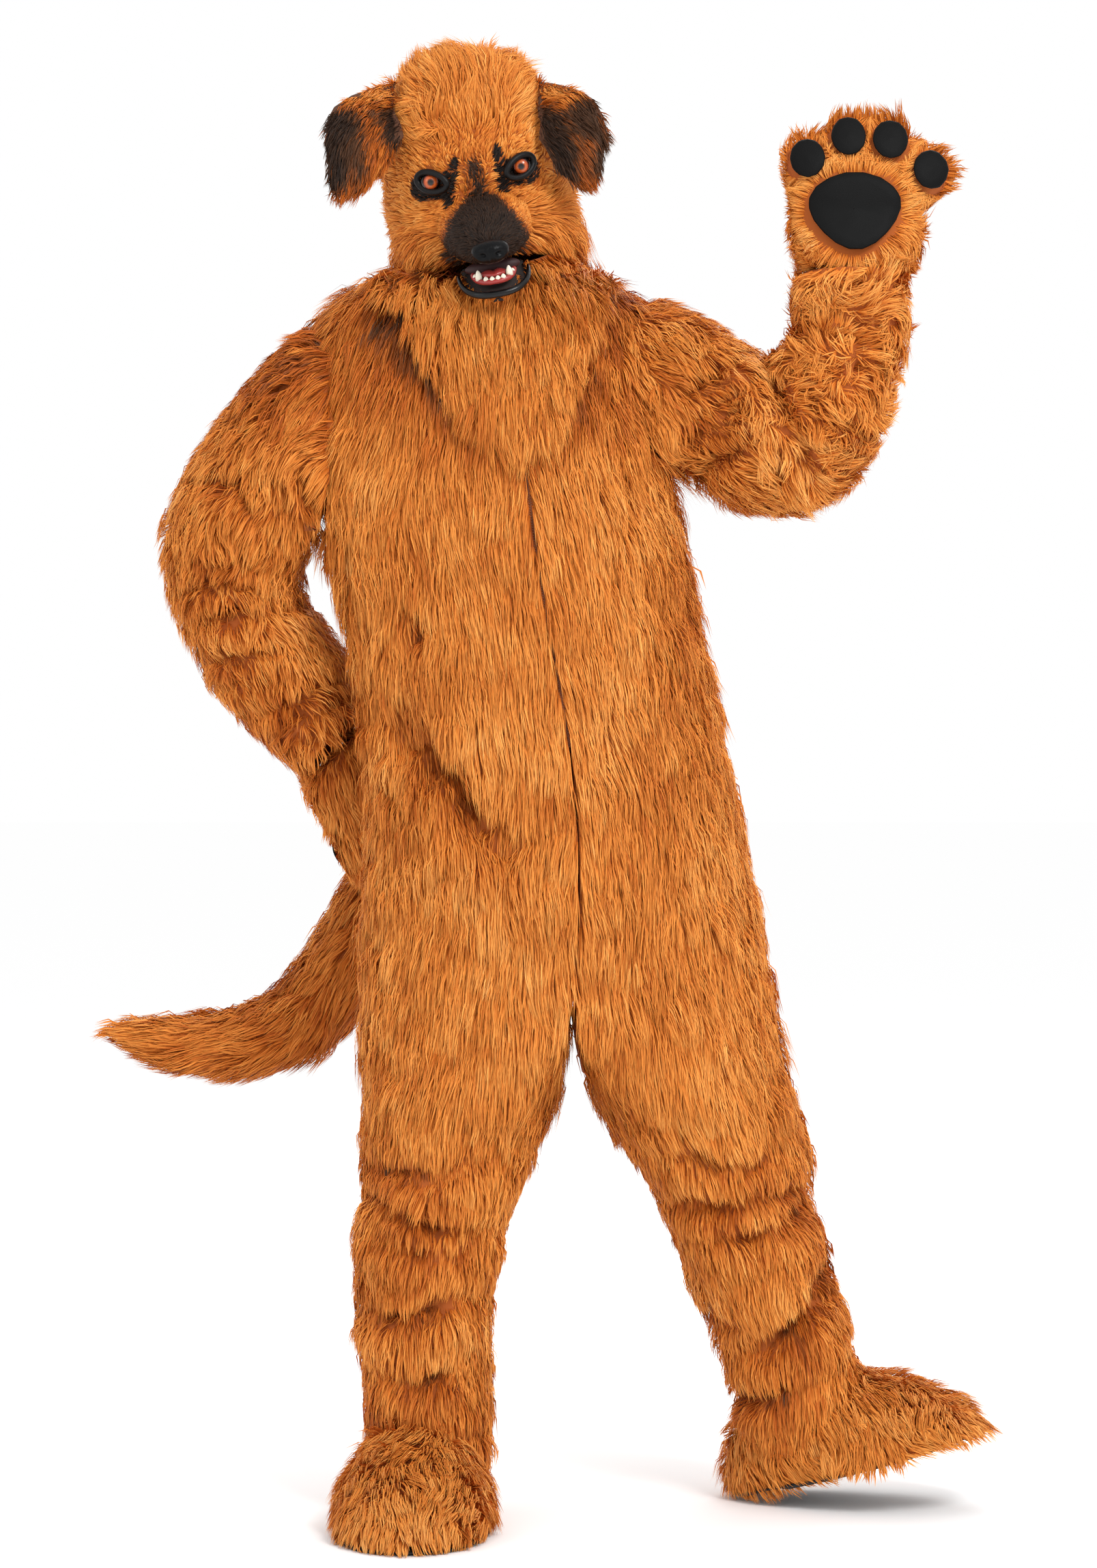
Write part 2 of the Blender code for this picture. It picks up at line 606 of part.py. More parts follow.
def dome_shell(name, outline, lift, thickness, rings, segments, place, material_name, square=1.0):
    def less_outline(turn):
        u, v = outline(turn)
        size = math.hypot(u, v)
        return u * (1 - thickness / size), v * (1 - thickness / size)

    outer = dome(outline, lift, rings, segments, place, square)
    inner = dome(less_outline, lambda u, v: lift(u, v) - thickness, rings, segments, place, square)
    faces, points = [], [p for grid in (outer, inner) for line in grid for p in line]
    layer = (rings + 1) * segments
    for base in (0, layer):
        for r in range(rings):
            for k in range(segments):
                n = (k + 1) % segments
                a, b = base + r * segments, base + (r + 1) * segments
                faces.append([a + k, a + n, b + n, b + k] if base == 0 else [b + k, b + n, a + n, a + k])
        cap = base + rings * segments
        faces.append([cap + k for k in range(segments)])
    for k in range(segments):
        n = (k + 1) % segments
        faces.append([k, n, layer + n, layer + k])
    return add_solid(name, points, faces, material_name)


def paw_outline(turn):
    """The mitt's outline round its centre: a rounded palm with four toe lobes."""
    way = Vector((math.cos(turn), math.sin(turn)))
    square = abs(way.x / MITT_HALF_WIDTH) ** MITT_SQUARE + abs(way.y / MITT_HALF_HEIGHT) ** MITT_SQUARE
    reach = square ** (-1 / MITT_SQUARE)
    for x, z, _, _ in LEFT_TOES:
        toe = Vector((x - MITT_CENTRE[0], z - MITT_CENTRE[1]))
        along = toe.dot(way)
        off = toe.length_squared - along * along
        if along > 0 and off < TOE_LOBE**2:
            reach = max(reach, along + math.sqrt(TOE_LOBE**2 - off))
    return way.x * reach, way.y * reach


def paw_lift(u, v):
    """Height over the seam plane: thinner at the toe tips, fuller towards the wrist."""
    return MITT_LIFT - 0.10 * max(0.0, v - 0.03) + 0.35 * max(0.0, -v - 0.01)


LEFT_PAW = Matrix.Translation((MITT_CENTRE[0], -0.078, MITT_CENTRE[1]))
LEFT_WRIST = Vector((0.446, -0.075, 0.038))
CUFF_WAY = Vector((0.715, 0, -0.699))  # the right cuff's plane faces this way
WRIST_TO_MIDDLE = 0.072
RIGHT_MITT_SIZE = 0.94
RIGHT_WRIST = Vector((-0.194, 0.106, -0.533))
RIGHT_FINGERS = Vector((0.52, 0.30, -0.80)).normalized()
PALM_TOWARDS = Vector((-0.50, 0.85, 0.10))
RIGHT_PALM = -PALM_TOWARDS.cross(RIGHT_FINGERS).cross(RIGHT_FINGERS).normalized()
RIGHT_PAW = Matrix.LocRotScale(
    RIGHT_WRIST + RIGHT_FINGERS * WRIST_TO_MIDDLE,
    Matrix((RIGHT_FINGERS.cross(RIGHT_PALM), -RIGHT_PALM, RIGHT_FINGERS)).transposed().to_quaternion(),
    (RIGHT_MITT_SIZE,) * 3,
)


def paw_place(frame, facing):
    return lambda u, v, w: frame @ Vector((u, -facing * (w + SEAM_GAP / 2), v))


def paw(side, frame, wrist, trunk):
    halves = []
    for part, facing in (("palm", 1), ("back", -1)):
        half = dome_shell(
            f"mitt_{side}_{part}",
            paw_outline,
            paw_lift,
            HAND_WALL,
            MITT_RINGS,
            MITT_SEGMENTS,
            paw_place(frame, facing),
            "ginger_pile",
            PAW_SQUARE,
        )
        boolean(half, wrist)
        if trunk:
            boolean(half, trunk)
        halves.append(half)
    return halves


def paw_skin(u, v):
    """The palm's height at (u, v), from the dome's own formula."""
    turn = math.atan2(v, u)
    edge = math.hypot(*paw_outline(turn))
    share = min(math.hypot(u, v) / edge, 0.999) ** (1 / PAW_SQUARE)
    return paw_lift(u, v) * math.sqrt(1 - share**2) ** PAW_SQUARE


def palm_cutter(side, frame):
    grown = dome(
        lambda turn: tuple(c * 1.004 for c in paw_outline(turn)),
        lambda u, v: paw_lift(u, v) + SEAT_GAP,
        MITT_RINGS,
        MITT_SEGMENTS,
        paw_place(frame, 1),
        PAW_SQUARE,
    )
    return as_cutter(filled(f"palm_{side}_cutter", grown, "ginger_pile"))


def pad(name, frame, palm, u0, v0, shape, rings, segments):
    """A flat cloth pad laid on the palm: the palm's own points moved out, trimmed by the palm."""
    place = paw_place(frame, 1)
    layers = []
    for lift_by in (-PAD_SINK, PAD_THICKNESS):
        lines = []
        for r in range(rings + 1):
            share = 1 - r / rings if r < rings else 0.03
            line = []
            for k in range(segments):
                half_u, half_v = shape(k * 2 * math.pi / segments)
                u, v = u0 + half_u * share, v0 + half_v * share
                line.append(place(u, v, paw_skin(u, v) + lift_by))
            lines.append(line)
        layers.append(lines)
    boolean(filled(name, layers[0][::-1] + layers[1], "pad_cloth"), palm)


def toe_shape(half_width, half_height):
    return lambda turn: (half_width * math.cos(turn), half_height * math.sin(turn))


def main_pad_shape(turn):
    """A rounded triangle, wide at the top and narrow at the wrist."""
    width = MAIN_PAD_WIDTH * (1 + 0.16 * math.sin(turn))
    height = MAIN_PAD_HEIGHTS[0 if math.sin(turn) > 0 else 1]
    return width * math.cos(turn), height * math.sin(turn) * (1 - 0.08 * math.cos(2 * turn))


def pads(side, frame):
    palm = palm_cutter(side, frame)
    for k, (x, z, half_width, half_height) in enumerate(LEFT_TOES):
        u, v = x - MITT_CENTRE[0], z - MITT_CENTRE[1]
        pad(f"pad_{side}_toe{k + 1}", frame, palm, u, v, toe_shape(half_width, half_height), 1, 12)
    pad(f"pad_{side}_main", frame, palm, *MAIN_PAD, main_pad_shape, 2, 18)


SHOE_HALF_LENGTH = 0.175
SOLE_THICKNESS = 0.006
SOLE_SIZE = 0.97
ANKLE_MARGIN = 0.016
SHOE_MARGIN = 1.010
SHOE_RINGS = 4
SHOE_SEGMENTS = 20
ANKLE_HEIGHT = 0.142
TOE_DROP = 0.090  # the upper is this much lower at the toes, from a quarter of its length
RIGHT_SHOE = (
    Matrix.Translation((-0.089, -0.105, FLOOR)) @ Matrix.Rotation(math.radians(-92), 4, "Z")
)
LEFT_SHOE = (
    Matrix.Translation((0.462, 0.085, -1.444))
    @ Matrix.Rotation(math.radians(-20), 4, "Z")
    @ Matrix.Rotation(math.radians(-16), 4, "Y")
    @ Matrix.Rotation(math.radians(4), 4, "X")
)


def shoe_outline(turn):
    u = SHOE_HALF_LENGTH * math.cos(turn)
    width = 0.108 + 0.008 * math.cos(turn)
    return u, width * math.sin(turn) * (1 - 0.10 * math.sin(turn) ** 2)


def shoe_lift(u, v):
    """Height of the upper: high over the ankle, low at the toes."""
    share = (u + SHOE_HALF_LENGTH) / (2 * SHOE_HALF_LENGTH)
    return ANKLE_HEIGHT - TOE_DROP * max(0.0, share - 0.25)


def shoe(side, frame, leg_hole):
    upper = dome_shell(
        f"shoe_{side}_upper",
        shoe_outline,
        shoe_lift,
        PILE_WALL,
        SHOE_RINGS,
        SHOE_SEGMENTS,
        lambda u, v, w: frame @ Vector((u, v, w + SOLE_THICKNESS + SEAT_GAP)),
        "ginger_pile",
    )
    boolean(upper, leg_hole)
    rim = [shoe_outline(k * 2 * math.pi / SHOE_SEGMENTS) for k in range(SHOE_SEGMENTS)]
    rings = [
        [frame @ Vector((u * SOLE_SIZE, v * SOLE_SIZE, w)) for u, v in rim] for w in (0.0, SOLE_THICKNESS)
    ]
    filled(f"shoe_{side}_sole", rings, "sole_cloth")
    grown = dome(
        lambda turn: tuple(c * SHOE_MARGIN for c in shoe_outline(turn)),
        lambda u, v: shoe_lift(u, v) + TRIM_MARGIN,
        SHOE_RINGS,
        SHOE_SEGMENTS,
        lambda u, v, w: frame @ Vector((u, v, w + SOLE_THICKNESS + SEAT_GAP)),
    )
    foot = [[frame @ Vector((u * SHOE_MARGIN, v * SHOE_MARGIN, -0.02)) for u, v in rim]]
    return as_cutter(filled(f"shoe_{side}_cutter", foot + grown, "ginger_pile"))


def leg_bore(name, legs):
    """The hollow of the leg near the ankle, carried on down into the shoe."""
    rows = rows_at(legs, np.linspace(legs[-1][0] + 0.14, legs[-1][0], 4))
    rows[:, 3:] -= ANKLE_MARGIN
    rings = [[leg_point(row, k * 20, ()) for k in range(18)] for row in rows]
    return as_cutter(filled(name, rings, "ginger_pile"))


def tail(trunk):
    rows = smooth_rows(TAIL, 20)
    rings = []
    for r, (x, y, z, radius) in enumerate(rows):
        before, after = rows[max(r - 1, 0)], rows[min(r + 1, len(rows) - 1)]
        way = Vector((after - before)[:3]).normalized()
        side = way.cross(Vector((0, 1, 0))).normalized()
        other = way.cross(side)
        turns = [k * 2 * math.pi / TAIL_SEGMENTS for k in range(TAIL_SEGMENTS)]
        centre = Vector((x, y, z))
        rings.append([centre + (side * math.cos(t) + other * math.sin(t)) * radius for t in turns])
    solid = filled("tail", rings, "ginger_pile")
    boolean(solid, trunk)


TO_HEAD = (
    Matrix.Translation(HEAD_CENTRE)
    @ Matrix.Rotation(HEAD_ROLL, 4, "Y")
    @ Matrix.Rotation(HEAD_PITCH, 4, "X")
)


def head_ring(row, count=HEAD_SEGMENTS, grow=0.0):
    height, y, half_width, front, back = row
    ring = []
    for k in range(count):
        turn = k * 2 * math.pi / count
        depth = front if math.sin(turn) >= 0 else back
        ring.append(
            TO_HEAD
            @ Vector(
                ((half_width + grow) * math.cos(turn), y - (depth + grow) * math.sin(turn), height)
            )
        )
    return ring


def thinner(row, depth=PILE_WALL):
    """A head row drawn in by a depth all round."""
    return row - np.array([0, 0, 1, 1, 1]) * depth


def trunk_depth(x, z, front):
    """How far the trunk's surface stands from y = 0 at this x and z, 0 beside it."""
    row = rows_at(TORSO, [min(z, TORSO[0][0])])[0]
    share = abs(x - row[1]) / row[2]
    return (row[3] if front else row[4]) * math.sqrt(max(0.0, 1 - share**2))


def bib_ring(row, lift, turn_count=HEAD_SEGMENTS):
    """One ring of the bib. lift is how far the ring stands off what it lies on."""
    height, drop_front, drop_back, centre, half_width, front, back = row
    ring = []
    for k in range(turn_count):
        turn = k * 2 * math.pi / turn_count
        ahead = math.sin(turn) >= 0
        front_share = max(0.0, math.sin(turn)) ** 2.2
        back_share = max(0.0, -math.sin(turn)) ** 1.5
        x = centre + (half_width - PILE_WALL + lift) * math.cos(turn) + BIB_LEAN * front_share * drop_front
        z = height - drop_front * front_share - drop_back * back_share
        own = ((front if ahead else back) - PILE_WALL + lift) * abs(math.sin(turn))
        depth = max(own, trunk_depth(x, z, ahead) + lift)
        ring.append(Vector((x, -depth if ahead else depth, z)))
    return ring


def tucked(ring):
    """The bib's hem carried down and in, under the trunk's surface, where the trunk trims it."""
    return [Vector((p.x * 0.8, p.y * 0.8, p.z - 2 * NECK_STEP)) for p in ring]


def mask(trunk):
    """The mask's head and its bib. Gives the two solids that trim what is sewn to them."""
    rows = rows_at(HEAD[::-1], np.linspace(HEAD[-1][0], HEAD[0][0], HEAD_RINGS))
    outer = [head_ring(row) for row in rows]
    sink = TO_HEAD.to_3x3() @ Vector((0, 0, -PILE_WALL))
    crown = [p + sink for p in head_ring(thinner(rows[0], CROWN_INSET))]
    inner = [crown] + [head_ring(thinner(row)) for row in rows[1:]]
    faces, points = [], [p for grid in (outer, inner) for line in grid for p in line]
    count, layer = HEAD_SEGMENTS, len(outer) * HEAD_SEGMENTS
    for base in (0, layer):
        for r in range(len(outer) - 1):
            for k in range(count):
                n = (k + 1) % count
                a, b = base + r * count, base + (r + 1) * count
                faces.append([a + k, a + n, b + n, b + k])
        points.append(sum((Vector(p) for p in points[base : base + count]), Vector()) / count)
        for k in range(count):
            faces.append([base + k, base + (k + 1) % count, len(points) - 1])
    rim = (len(outer) - 1) * count
    for k in range(count):
        n = (k + 1) % count
        faces.append([rim + k, rim + n, layer + rim + n, layer + rim + k])
    add_solid("mask_head", points, faces, "mask_pile")

    bib_rows = smooth_rows(BIB, BIB_ROWS)
    down = TO_HEAD.to_3x3() @ Vector((0, 0, -SEAT_GAP))
    bib_rings = [[p + down for p in head_ring(rows[-1])]] + [bib_ring(row, PILE_WALL) for row in bib_rows]
    bib_rings.append(tucked(bib_rings[-1]))
    bib = filled("mask_bib", bib_rings, "mask_pile")
    boolean(bib, trunk)
    neck = head_ring(thinner(rows[-1]))
    up = TO_HEAD.to_3x3() @ Vector((0, 0, NECK_STEP))
    collar = [bib_ring((height, *COLLAR), 0.0) for height in COLLAR_HEIGHTS]
    boolean(bib, as_cutter(filled("neck_bore", [[p + up for p in neck], neck, *collar], "mask_pile")))

    grown = [head_ring(row, 40, 2 * SEAT_GAP) for row in rows]
    head_cutter = as_cutter(filled("head_cutter", grown, "mask_pile"))
    grown = [head_ring(rows[-1], HEAD_SEGMENTS, 2 * SEAT_GAP)]
    grown += [bib_ring(row, PILE_WALL + 2 * SEAT_GAP) for row in bib_rows]
    grown.append(tucked(grown[-1]))
    return head_cutter, as_cutter(filled("bib_cutter", grown, "mask_pile"))


def ear(name, table, cutter):
    rows = smooth_rows(table, EAR_ROWS)
    rings = []
    for ax, az, bx, bz, y, thickness in rows:
        a, b = Vector((ax, y, az)), Vector((bx, y, bz))
        centre, half = (a + b) / 2, (b - a) / 2
        ring = []
        for k in range(EAR_SEGMENTS):
            turn = k * 2 * math.pi / EAR_SEGMENTS
            across = math.cos(turn)
            out = Vector((0, thickness * math.sin(turn) + EAR_CUP * across**2, 0))
            ring.append(centre + half * math.copysign(abs(across) ** 0.8, across) + out)
        rings.append(ring)
    boolean(filled(name, rings, "ear_pile"), cutter)


def head_blob(name, centre, sizes, material_name, rings=7):
    """An ellipsoid in the head's frame."""
    bm = bmesh.new()
    bmesh.ops.create_uvsphere(bm, u_segments=12, v_segments=rings, radius=1.0)
    place = TO_HEAD @ Matrix.Translation(centre) @ Matrix.Diagonal((*sizes, 1.0))
    bmesh.ops.transform(bm, matrix=place, verts=bm.verts)
    points = [v.co.copy() for v in bm.verts]
    faces = [[v.index for v in f.verts] for f in bm.faces]
    bm.free()
    return add_solid(name, points, faces, material_name)


MUZZLE = TO_HEAD @ Matrix.Translation((0, -0.098, -0.060)) @ Matrix.Rotation(math.radians(7), 4, "X")
JAW = TO_HEAD @ Matrix.Translation((0, -0.100, -0.116)) @ Matrix.Rotation(math.radians(11), 4, "X")
MUZZLE_SIZE = (0.060, 0.041, 0.138)  # half width, half height, length
JAW_SIZE = (0.048, 0.022, 0.110)
SNOUT_RINGS = 5
SNOUT_SEGMENTS = 18
SNOUT_SQUARE = 2.5


def snout(name, frame, size, material_name, cutters):
    """A muzzle or jaw: a tapering dome that points ahead. Gives the solid that trims others to it."""
    half_width, half_height, length = size

    def outline(turn, grow=0.0):
        across, up = math.cos(turn), math.sin(turn)
        sides = (across / (half_width + grow), up / (half_height + grow))
        reach = sum(abs(side) ** SNOUT_SQUARE for side in sides) ** (-1 / SNOUT_SQUARE)
        return across * reach, up * reach

    def place(u, v, w):
        return frame @ Vector((u, -w, v))

    shell = dome_shell(
        name, outline, lambda u, v: length, SHORT_WALL, SNOUT_RINGS, SNOUT_SEGMENTS, place, material_name
    )
    for cutter in cutters:
        boolean(shell, cutter)
    grown = dome(
        lambda turn: outline(turn, 2 * SEAT_GAP),
        lambda u, v: length + 2 * SEAT_GAP,
        SNOUT_RINGS,
        SNOUT_SEGMENTS,
        place,
    )
    return as_cutter(filled(name + "_cutter", grown, material_name))


def head_tube(name, path, radius, closed, material_name, segments=6):
    """A round cord of rubber along points given in the head's frame."""
    count, rings = len(path), []
    for k, point in enumerate(path):
        before = path[(k - 1) % count] if closed or k else path[0]
        after = path[(k + 1) % count] if closed or k < count - 1 else path[-1]
        way = (Vector(after) - Vector(before)).normalized()
        side = way.cross(Vector((0, 1, 0) if closed else (0, 0, 1))).normalized()
        other = way.cross(side)
        taper = 1.0 if closed else 0.35 + 0.65 * math.sin(math.pi * (k + 0.5) / count) ** 0.5
        turns = [j * 2 * math.pi / segments for j in range(segments)]
        ring = [(side * math.cos(t) + other * math.sin(t)) * radius * taper for t in turns]
        rings.append([TO_HEAD @ (Vector(point) + offset) for offset in ring])
    if not closed:
        return filled(name, rings, material_name)
    points, faces = [p for ring in rings for p in ring], []
    for r in range(count):
        for k in range(segments):
            a, b = r * segments, (r + 1) % count * segments
            n = (k + 1) % segments
            faces.append([a + k, a + n, b + n, b + k])
    return add_solid(name, points, faces, material_name)


def mouth_curve(half_width, corner, front, count):
    """A U through the mouth: corners at `corner` (y, z), lowest at `front` (y, z)."""
    points = []
    for k in range(count):
        turn = -1 + 2 * k / (count - 1)
        share = 1 - abs(turn) ** 2.4
        y, z = (corner[i] + (front[i] - corner[i]) * share for i in (0, 1))
        points.append((half_width * math.sin(turn * math.pi / 2), y, z))
    return points


# The face's parts in the head's own frame
FACE_HALF_WIDTH, FACE_DEPTH = 0.117, 0.120
EYE_PLACE, EYE_RADIUS = (0.056, -0.100, 0.002), 0.0125
RIM_RADIUS, RIM_CORD, RIM_STAND, RIM_STEPS = 0.0185, 0.0045, 0.0054, 14
NOSE_PLACE, NOSE_SIZES = (0, -0.232, -0.082), (0.0225, 0.017, 0.0145)
# half width, corner (y, z), lowest point in front (y, z), points
LIP_CURVE, LIP_RADIUS = (0.043, (-0.165, -0.111), (-0.212, -0.135), 15), 0.0050
TEETH_CURVE, TEETH_RADIUS = (0.025, (-0.170, -0.110), (-0.199, -0.121), 11), 0.0040
TONGUE_PLACE, TONGUE_SIZES = (0, -0.184, -0.113), (0.017, 0.015, 0.006)
LINING_PLACE, LINING_SIZES = (0, -0.159, -0.107), (0.034, 0.009, 0.010)


def face(head_cutter, bib_cutter):
    muzzle_cutter = snout("mask_muzzle", MUZZLE, MUZZLE_SIZE, "muzzle_pile", (head_cutter, bib_cutter))
    jaw_cutter = snout("mask_jaw", JAW, JAW_SIZE, "mask_pile", (head_cutter, bib_cutter, muzzle_cutter))
    around = (head_cutter, bib_cutter, muzzle_cutter, jaw_cutter)
    nose = head_blob("nose", NOSE_PLACE, NOSE_SIZES, "gloss_black")
    boolean(nose, muzzle_cutter)
    lips = head_tube("lips", mouth_curve(*LIP_CURVE), LIP_RADIUS, False, "gloss_black")
    teeth = head_tube("teeth_lower", mouth_curve(*TEETH_CURVE), TEETH_RADIUS, False, "tooth_ivory")
    tongue = head_blob("tongue", TONGUE_PLACE, TONGUE_SIZES, "tongue_red", 6)
    lining = head_blob("mouth_lining", LINING_PLACE, LINING_SIZES, "mouth_dark", 6)
    for solid in (lips, teeth, tongue, lining):
        for cutter in around:
            boolean(solid, cutter)
    for side, sign in (("left", 1), ("right", -1)):
        x, y, z = EYE_PLACE
        eye = head_blob(f"eye_{side}", (sign * x, y, z), (EYE_RADIUS,) * 3, "eye_glass")
        loop = []
        for k in range(RIM_STEPS):
            turn = k * 2 * math.pi / RIM_STEPS
            across = sign * x + RIM_RADIUS * math.cos(turn)
            ahead = FACE_DEPTH * math.sqrt(1 - (across / FACE_HALF_WIDTH) ** 2) + RIM_STAND
            loop.append((across, -ahead, z + RIM_RADIUS * math.sin(turn)))
        head_tube(f"eye_rim_{side}", loop, RIM_CORD, True, "gloss_black")
        boolean(eye, head_cutter)


def half_space(name, point, normal):
    """A block that fills the side of a plane its normal points to."""
    frame = normal.to_track_quat("Z", "Y").to_matrix().to_4x4()
    frame.translation = point
    block = box(name, (-0.2, -0.2, 0.0), (0.2, 0.2, 0.2))
    block.data.transform(frame)
    return block


def main():
    for old in list(bpy.data.objects):
        bpy.data.objects.remove(old, do_unlink=True)
    trunk = trunk_cutter()
    panels = [
        half_panel(f"{'front' if front else 'back'}_{'left' if side > 0 else 'right'}", side, front)
        for front in (True, False)
        for side in (-1, 1)
    ]
    zip_strip()
    right_hole = sleeve("sleeve_right", RIGHT_SLEEVE, RIGHT_SLEEVE_FOLDS, trunk)
    left_hole = sleeve("sleeve_left", LEFT_SLEEVE, LEFT_SLEEVE_FOLDS, trunk)
    right_foot = shoe("right", RIGHT_SHOE, leg_bore("right_leg_bore", RIGHT_LEG))
    left_foot = shoe("left", LEFT_SHOE, leg_bore("left_leg_bore", LEFT_LEG))
    for panel in panels:
        right = panel.name.endswith("right")
        boolean(panel, right_hole if right else left_hole)
        boolean(panel, right_foot if right else left_foot)
    left_wrist = half_space("left_wrist", LEFT_WRIST + Vector((0, 0, SEAT_GAP)), Vector((0, 0, -1)))
    right_wrist = half_space("right_wrist", RIGHT_WRIST + CUFF_WAY * SEAT_GAP, -CUFF_WAY)
    paw("left", LEFT_PAW, left_wrist, None)
    paw("right", RIGHT_PAW, right_wrist, trunk)
    pads("left", LEFT_PAW)
    pads("right", RIGHT_PAW)
    tail(trunk)
    head_cutter, bib_cutter = mask(trunk)
    ear("ear_left", LEFT_EAR, head_cutter)
    ear("ear_right", RIGHT_EAR, head_cutter)
    face(head_cutter, bib_cutter)


main()
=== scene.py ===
import math

import bmesh
import bpy
import numpy as np
from mathutils import Matrix, Vector
from mathutils.kdtree import KDTree


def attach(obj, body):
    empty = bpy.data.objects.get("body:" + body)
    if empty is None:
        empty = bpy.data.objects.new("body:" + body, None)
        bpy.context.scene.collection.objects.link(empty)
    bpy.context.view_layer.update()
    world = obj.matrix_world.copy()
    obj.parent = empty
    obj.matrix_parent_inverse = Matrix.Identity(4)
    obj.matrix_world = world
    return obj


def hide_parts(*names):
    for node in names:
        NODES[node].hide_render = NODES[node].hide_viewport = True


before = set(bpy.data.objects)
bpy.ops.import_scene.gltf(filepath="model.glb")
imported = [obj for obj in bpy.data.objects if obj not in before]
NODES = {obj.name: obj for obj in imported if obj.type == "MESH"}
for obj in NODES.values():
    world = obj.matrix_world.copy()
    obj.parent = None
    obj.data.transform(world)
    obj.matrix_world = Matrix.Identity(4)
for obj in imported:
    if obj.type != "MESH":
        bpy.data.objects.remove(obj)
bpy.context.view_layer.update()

# Sizes are in metres. X runs to the right of the picture, Y away from the viewer, Z up.
BACKING = 0.0015
FLOOR_Z = -1.494
FLOOR_HALF = 90.0
MERGE = 1e-5
LONGEST_EDGE = 0.024  # of a backing cloth
OUTWARD = 0.12  # a face's least share away from its part's middle line that makes it an outside face
HIDDEN_SHIFT = 0.022  # how far the creases of the hidden sides lie from those in front
SEAM_WIDTH, SEAM_GAP, SEAM_PARTING = 0.016, 0.0007, 0.06
# Where, how far and how strongly the trunk's pile turns out along the arms
SHOULDER_INWARD, SHOULDER_REACH, SHOULDER_PULL = (0.8, 1, 1), 0.10, 1.3
PAD_CLEARANCE, PAD_SWEEP, PAD_PUSH = 0.001, 0.020, 1.6
RIM_BINS, RIM_SPAN = 36, 0.35
SOLE_NEAR, SOLE_FAR, SOLE_CUT = 0.012, 0.050, 0.24
LOWER_LEG_TOP, LOWER_LEG_END, LOWER_LEG_CUT = 0.94, 1.04, 0.32  # depths below the origin, and the cut
# The head's pile: bare round the eyes, short on the bridge and long at the rim and the crown
EYE_BALD, FACE_LEAST = 0.0150, 0.27
FACE_GROWTH, FACE_NEAR, FACE_FAR = 0.78, 0.026, 0.078
CROWN_GROWTH, CROWN_LOW, CROWN_HIGH = 0.30, 0.07, 0.12
RIM_GROWTH, RIM_DROP, RIM_TOP, RIM_FOOT, RIM_NEAR, RIM_FAR = 0.8, 1.5, 0.045, 0.090, 0.050, 0.085
# Painted shade: darker, rustier pile on the shoulders under the head and along the bib's edge; the ears' own
# rustier colour at their roots: how much, and where
SHOULDER_SHADE, SHOULDER_SHADE_FOOT, SHOULDER_SHADE_SPAN, SHOULDER_SHADE_OUTER = 0.13, -0.22, 0.14, 0.30
BIB_SHADOW, BIB_SHADOW_FOOT, BIB_NEAR, BIB_FAR = 0.12, -0.26, 0.010, 0.050
EAR_ROOT_TONE, EAR_ROOT_FOOT, EAR_ROOT_SPAN = 0.30, 0.234, 0.025
SEED, SEED_STEP = 40, 17

# How the blades of all coats vary: one by one, by their tuft and by their lock of tufts
TUFT, LOCK = 9, 70  # blades in each
SWAY_SIZE, SWIRL_SIZE, SHADE_SIZE, CREASE_SIZE = 0.10, 0.035, 0.18, 0.06  # of what drifts over the cloth
SWAY, SWIRL = 0.7, 0.45
RUFFLE_LEAST, RUFFLE_WILD = 0.35, 1.1
STRAY_TUFT, STRAY_LOCK, STRAY_LOWER, STRAY_UPPER = 0.10, 0.13, 0.06, 0.10
LEAN_BLADE, LEAN_LOCK, LEAN_TROUGH, LEAST_LEAN, MOST_LEAN = 0.04, 0.05, 0.10, 0.3, 0.985
UPPER_LEAN, UPPER_OUT, DROOP = 0.3, 0.15, np.array([0, 0, -0.10])
LENGTHS, LENGTH_LOCK, TROUGH_CUT, SHORTEST_BLADE = (0.70, 1.12), 0.10, 0.45, 0.006
GATHERS, GATHER_LOCK, GATHER_HALF = (0.6, 1.3), 0.35, 0.45
WIDTHS, SHORT_WIDER, TWIST = (0.65, 1.2), 0.8, 0.35
WAIST = 0.85  # a blade's width half way up, of its width at the root
ABOVE_FLOOR = 0.0008
TONE_BLADE, TONE_TUFT, TONE_LOCK, TONE_DRIFT = 0.035, 0.03, 0.03, 0.045
# How much painted shade darkens the pile down in the creases' troughs, on the legs and on the sleeves
LEG_CREASE_SHADE, SLEEVE_CREASE_SHADE = 0.25, 0.10
DARKEST, PALEST, BLADE_EDGE = 0.02, 0.98, 0.008

TOES = ("toe1", "toe2", "toe3", "toe4", "main")

TO_HEAD = (
    Matrix.Translation((-0.018, 0.005, 0.178))
    @ Matrix.Rotation(math.radians(-10), 4, "Y")
    @ Matrix.Rotation(math.radians(13), 4, "X")
)
LEFT_PAW_CENTRE = (0.452, -0.078, 0.112)
RIGHT_PAW_CENTRE = (-0.157, 0.128, -0.591)
PALM_FACING = {"left": (0.0, -1.0, 0.0), "right": (-0.46, 0.886, 0.032)}

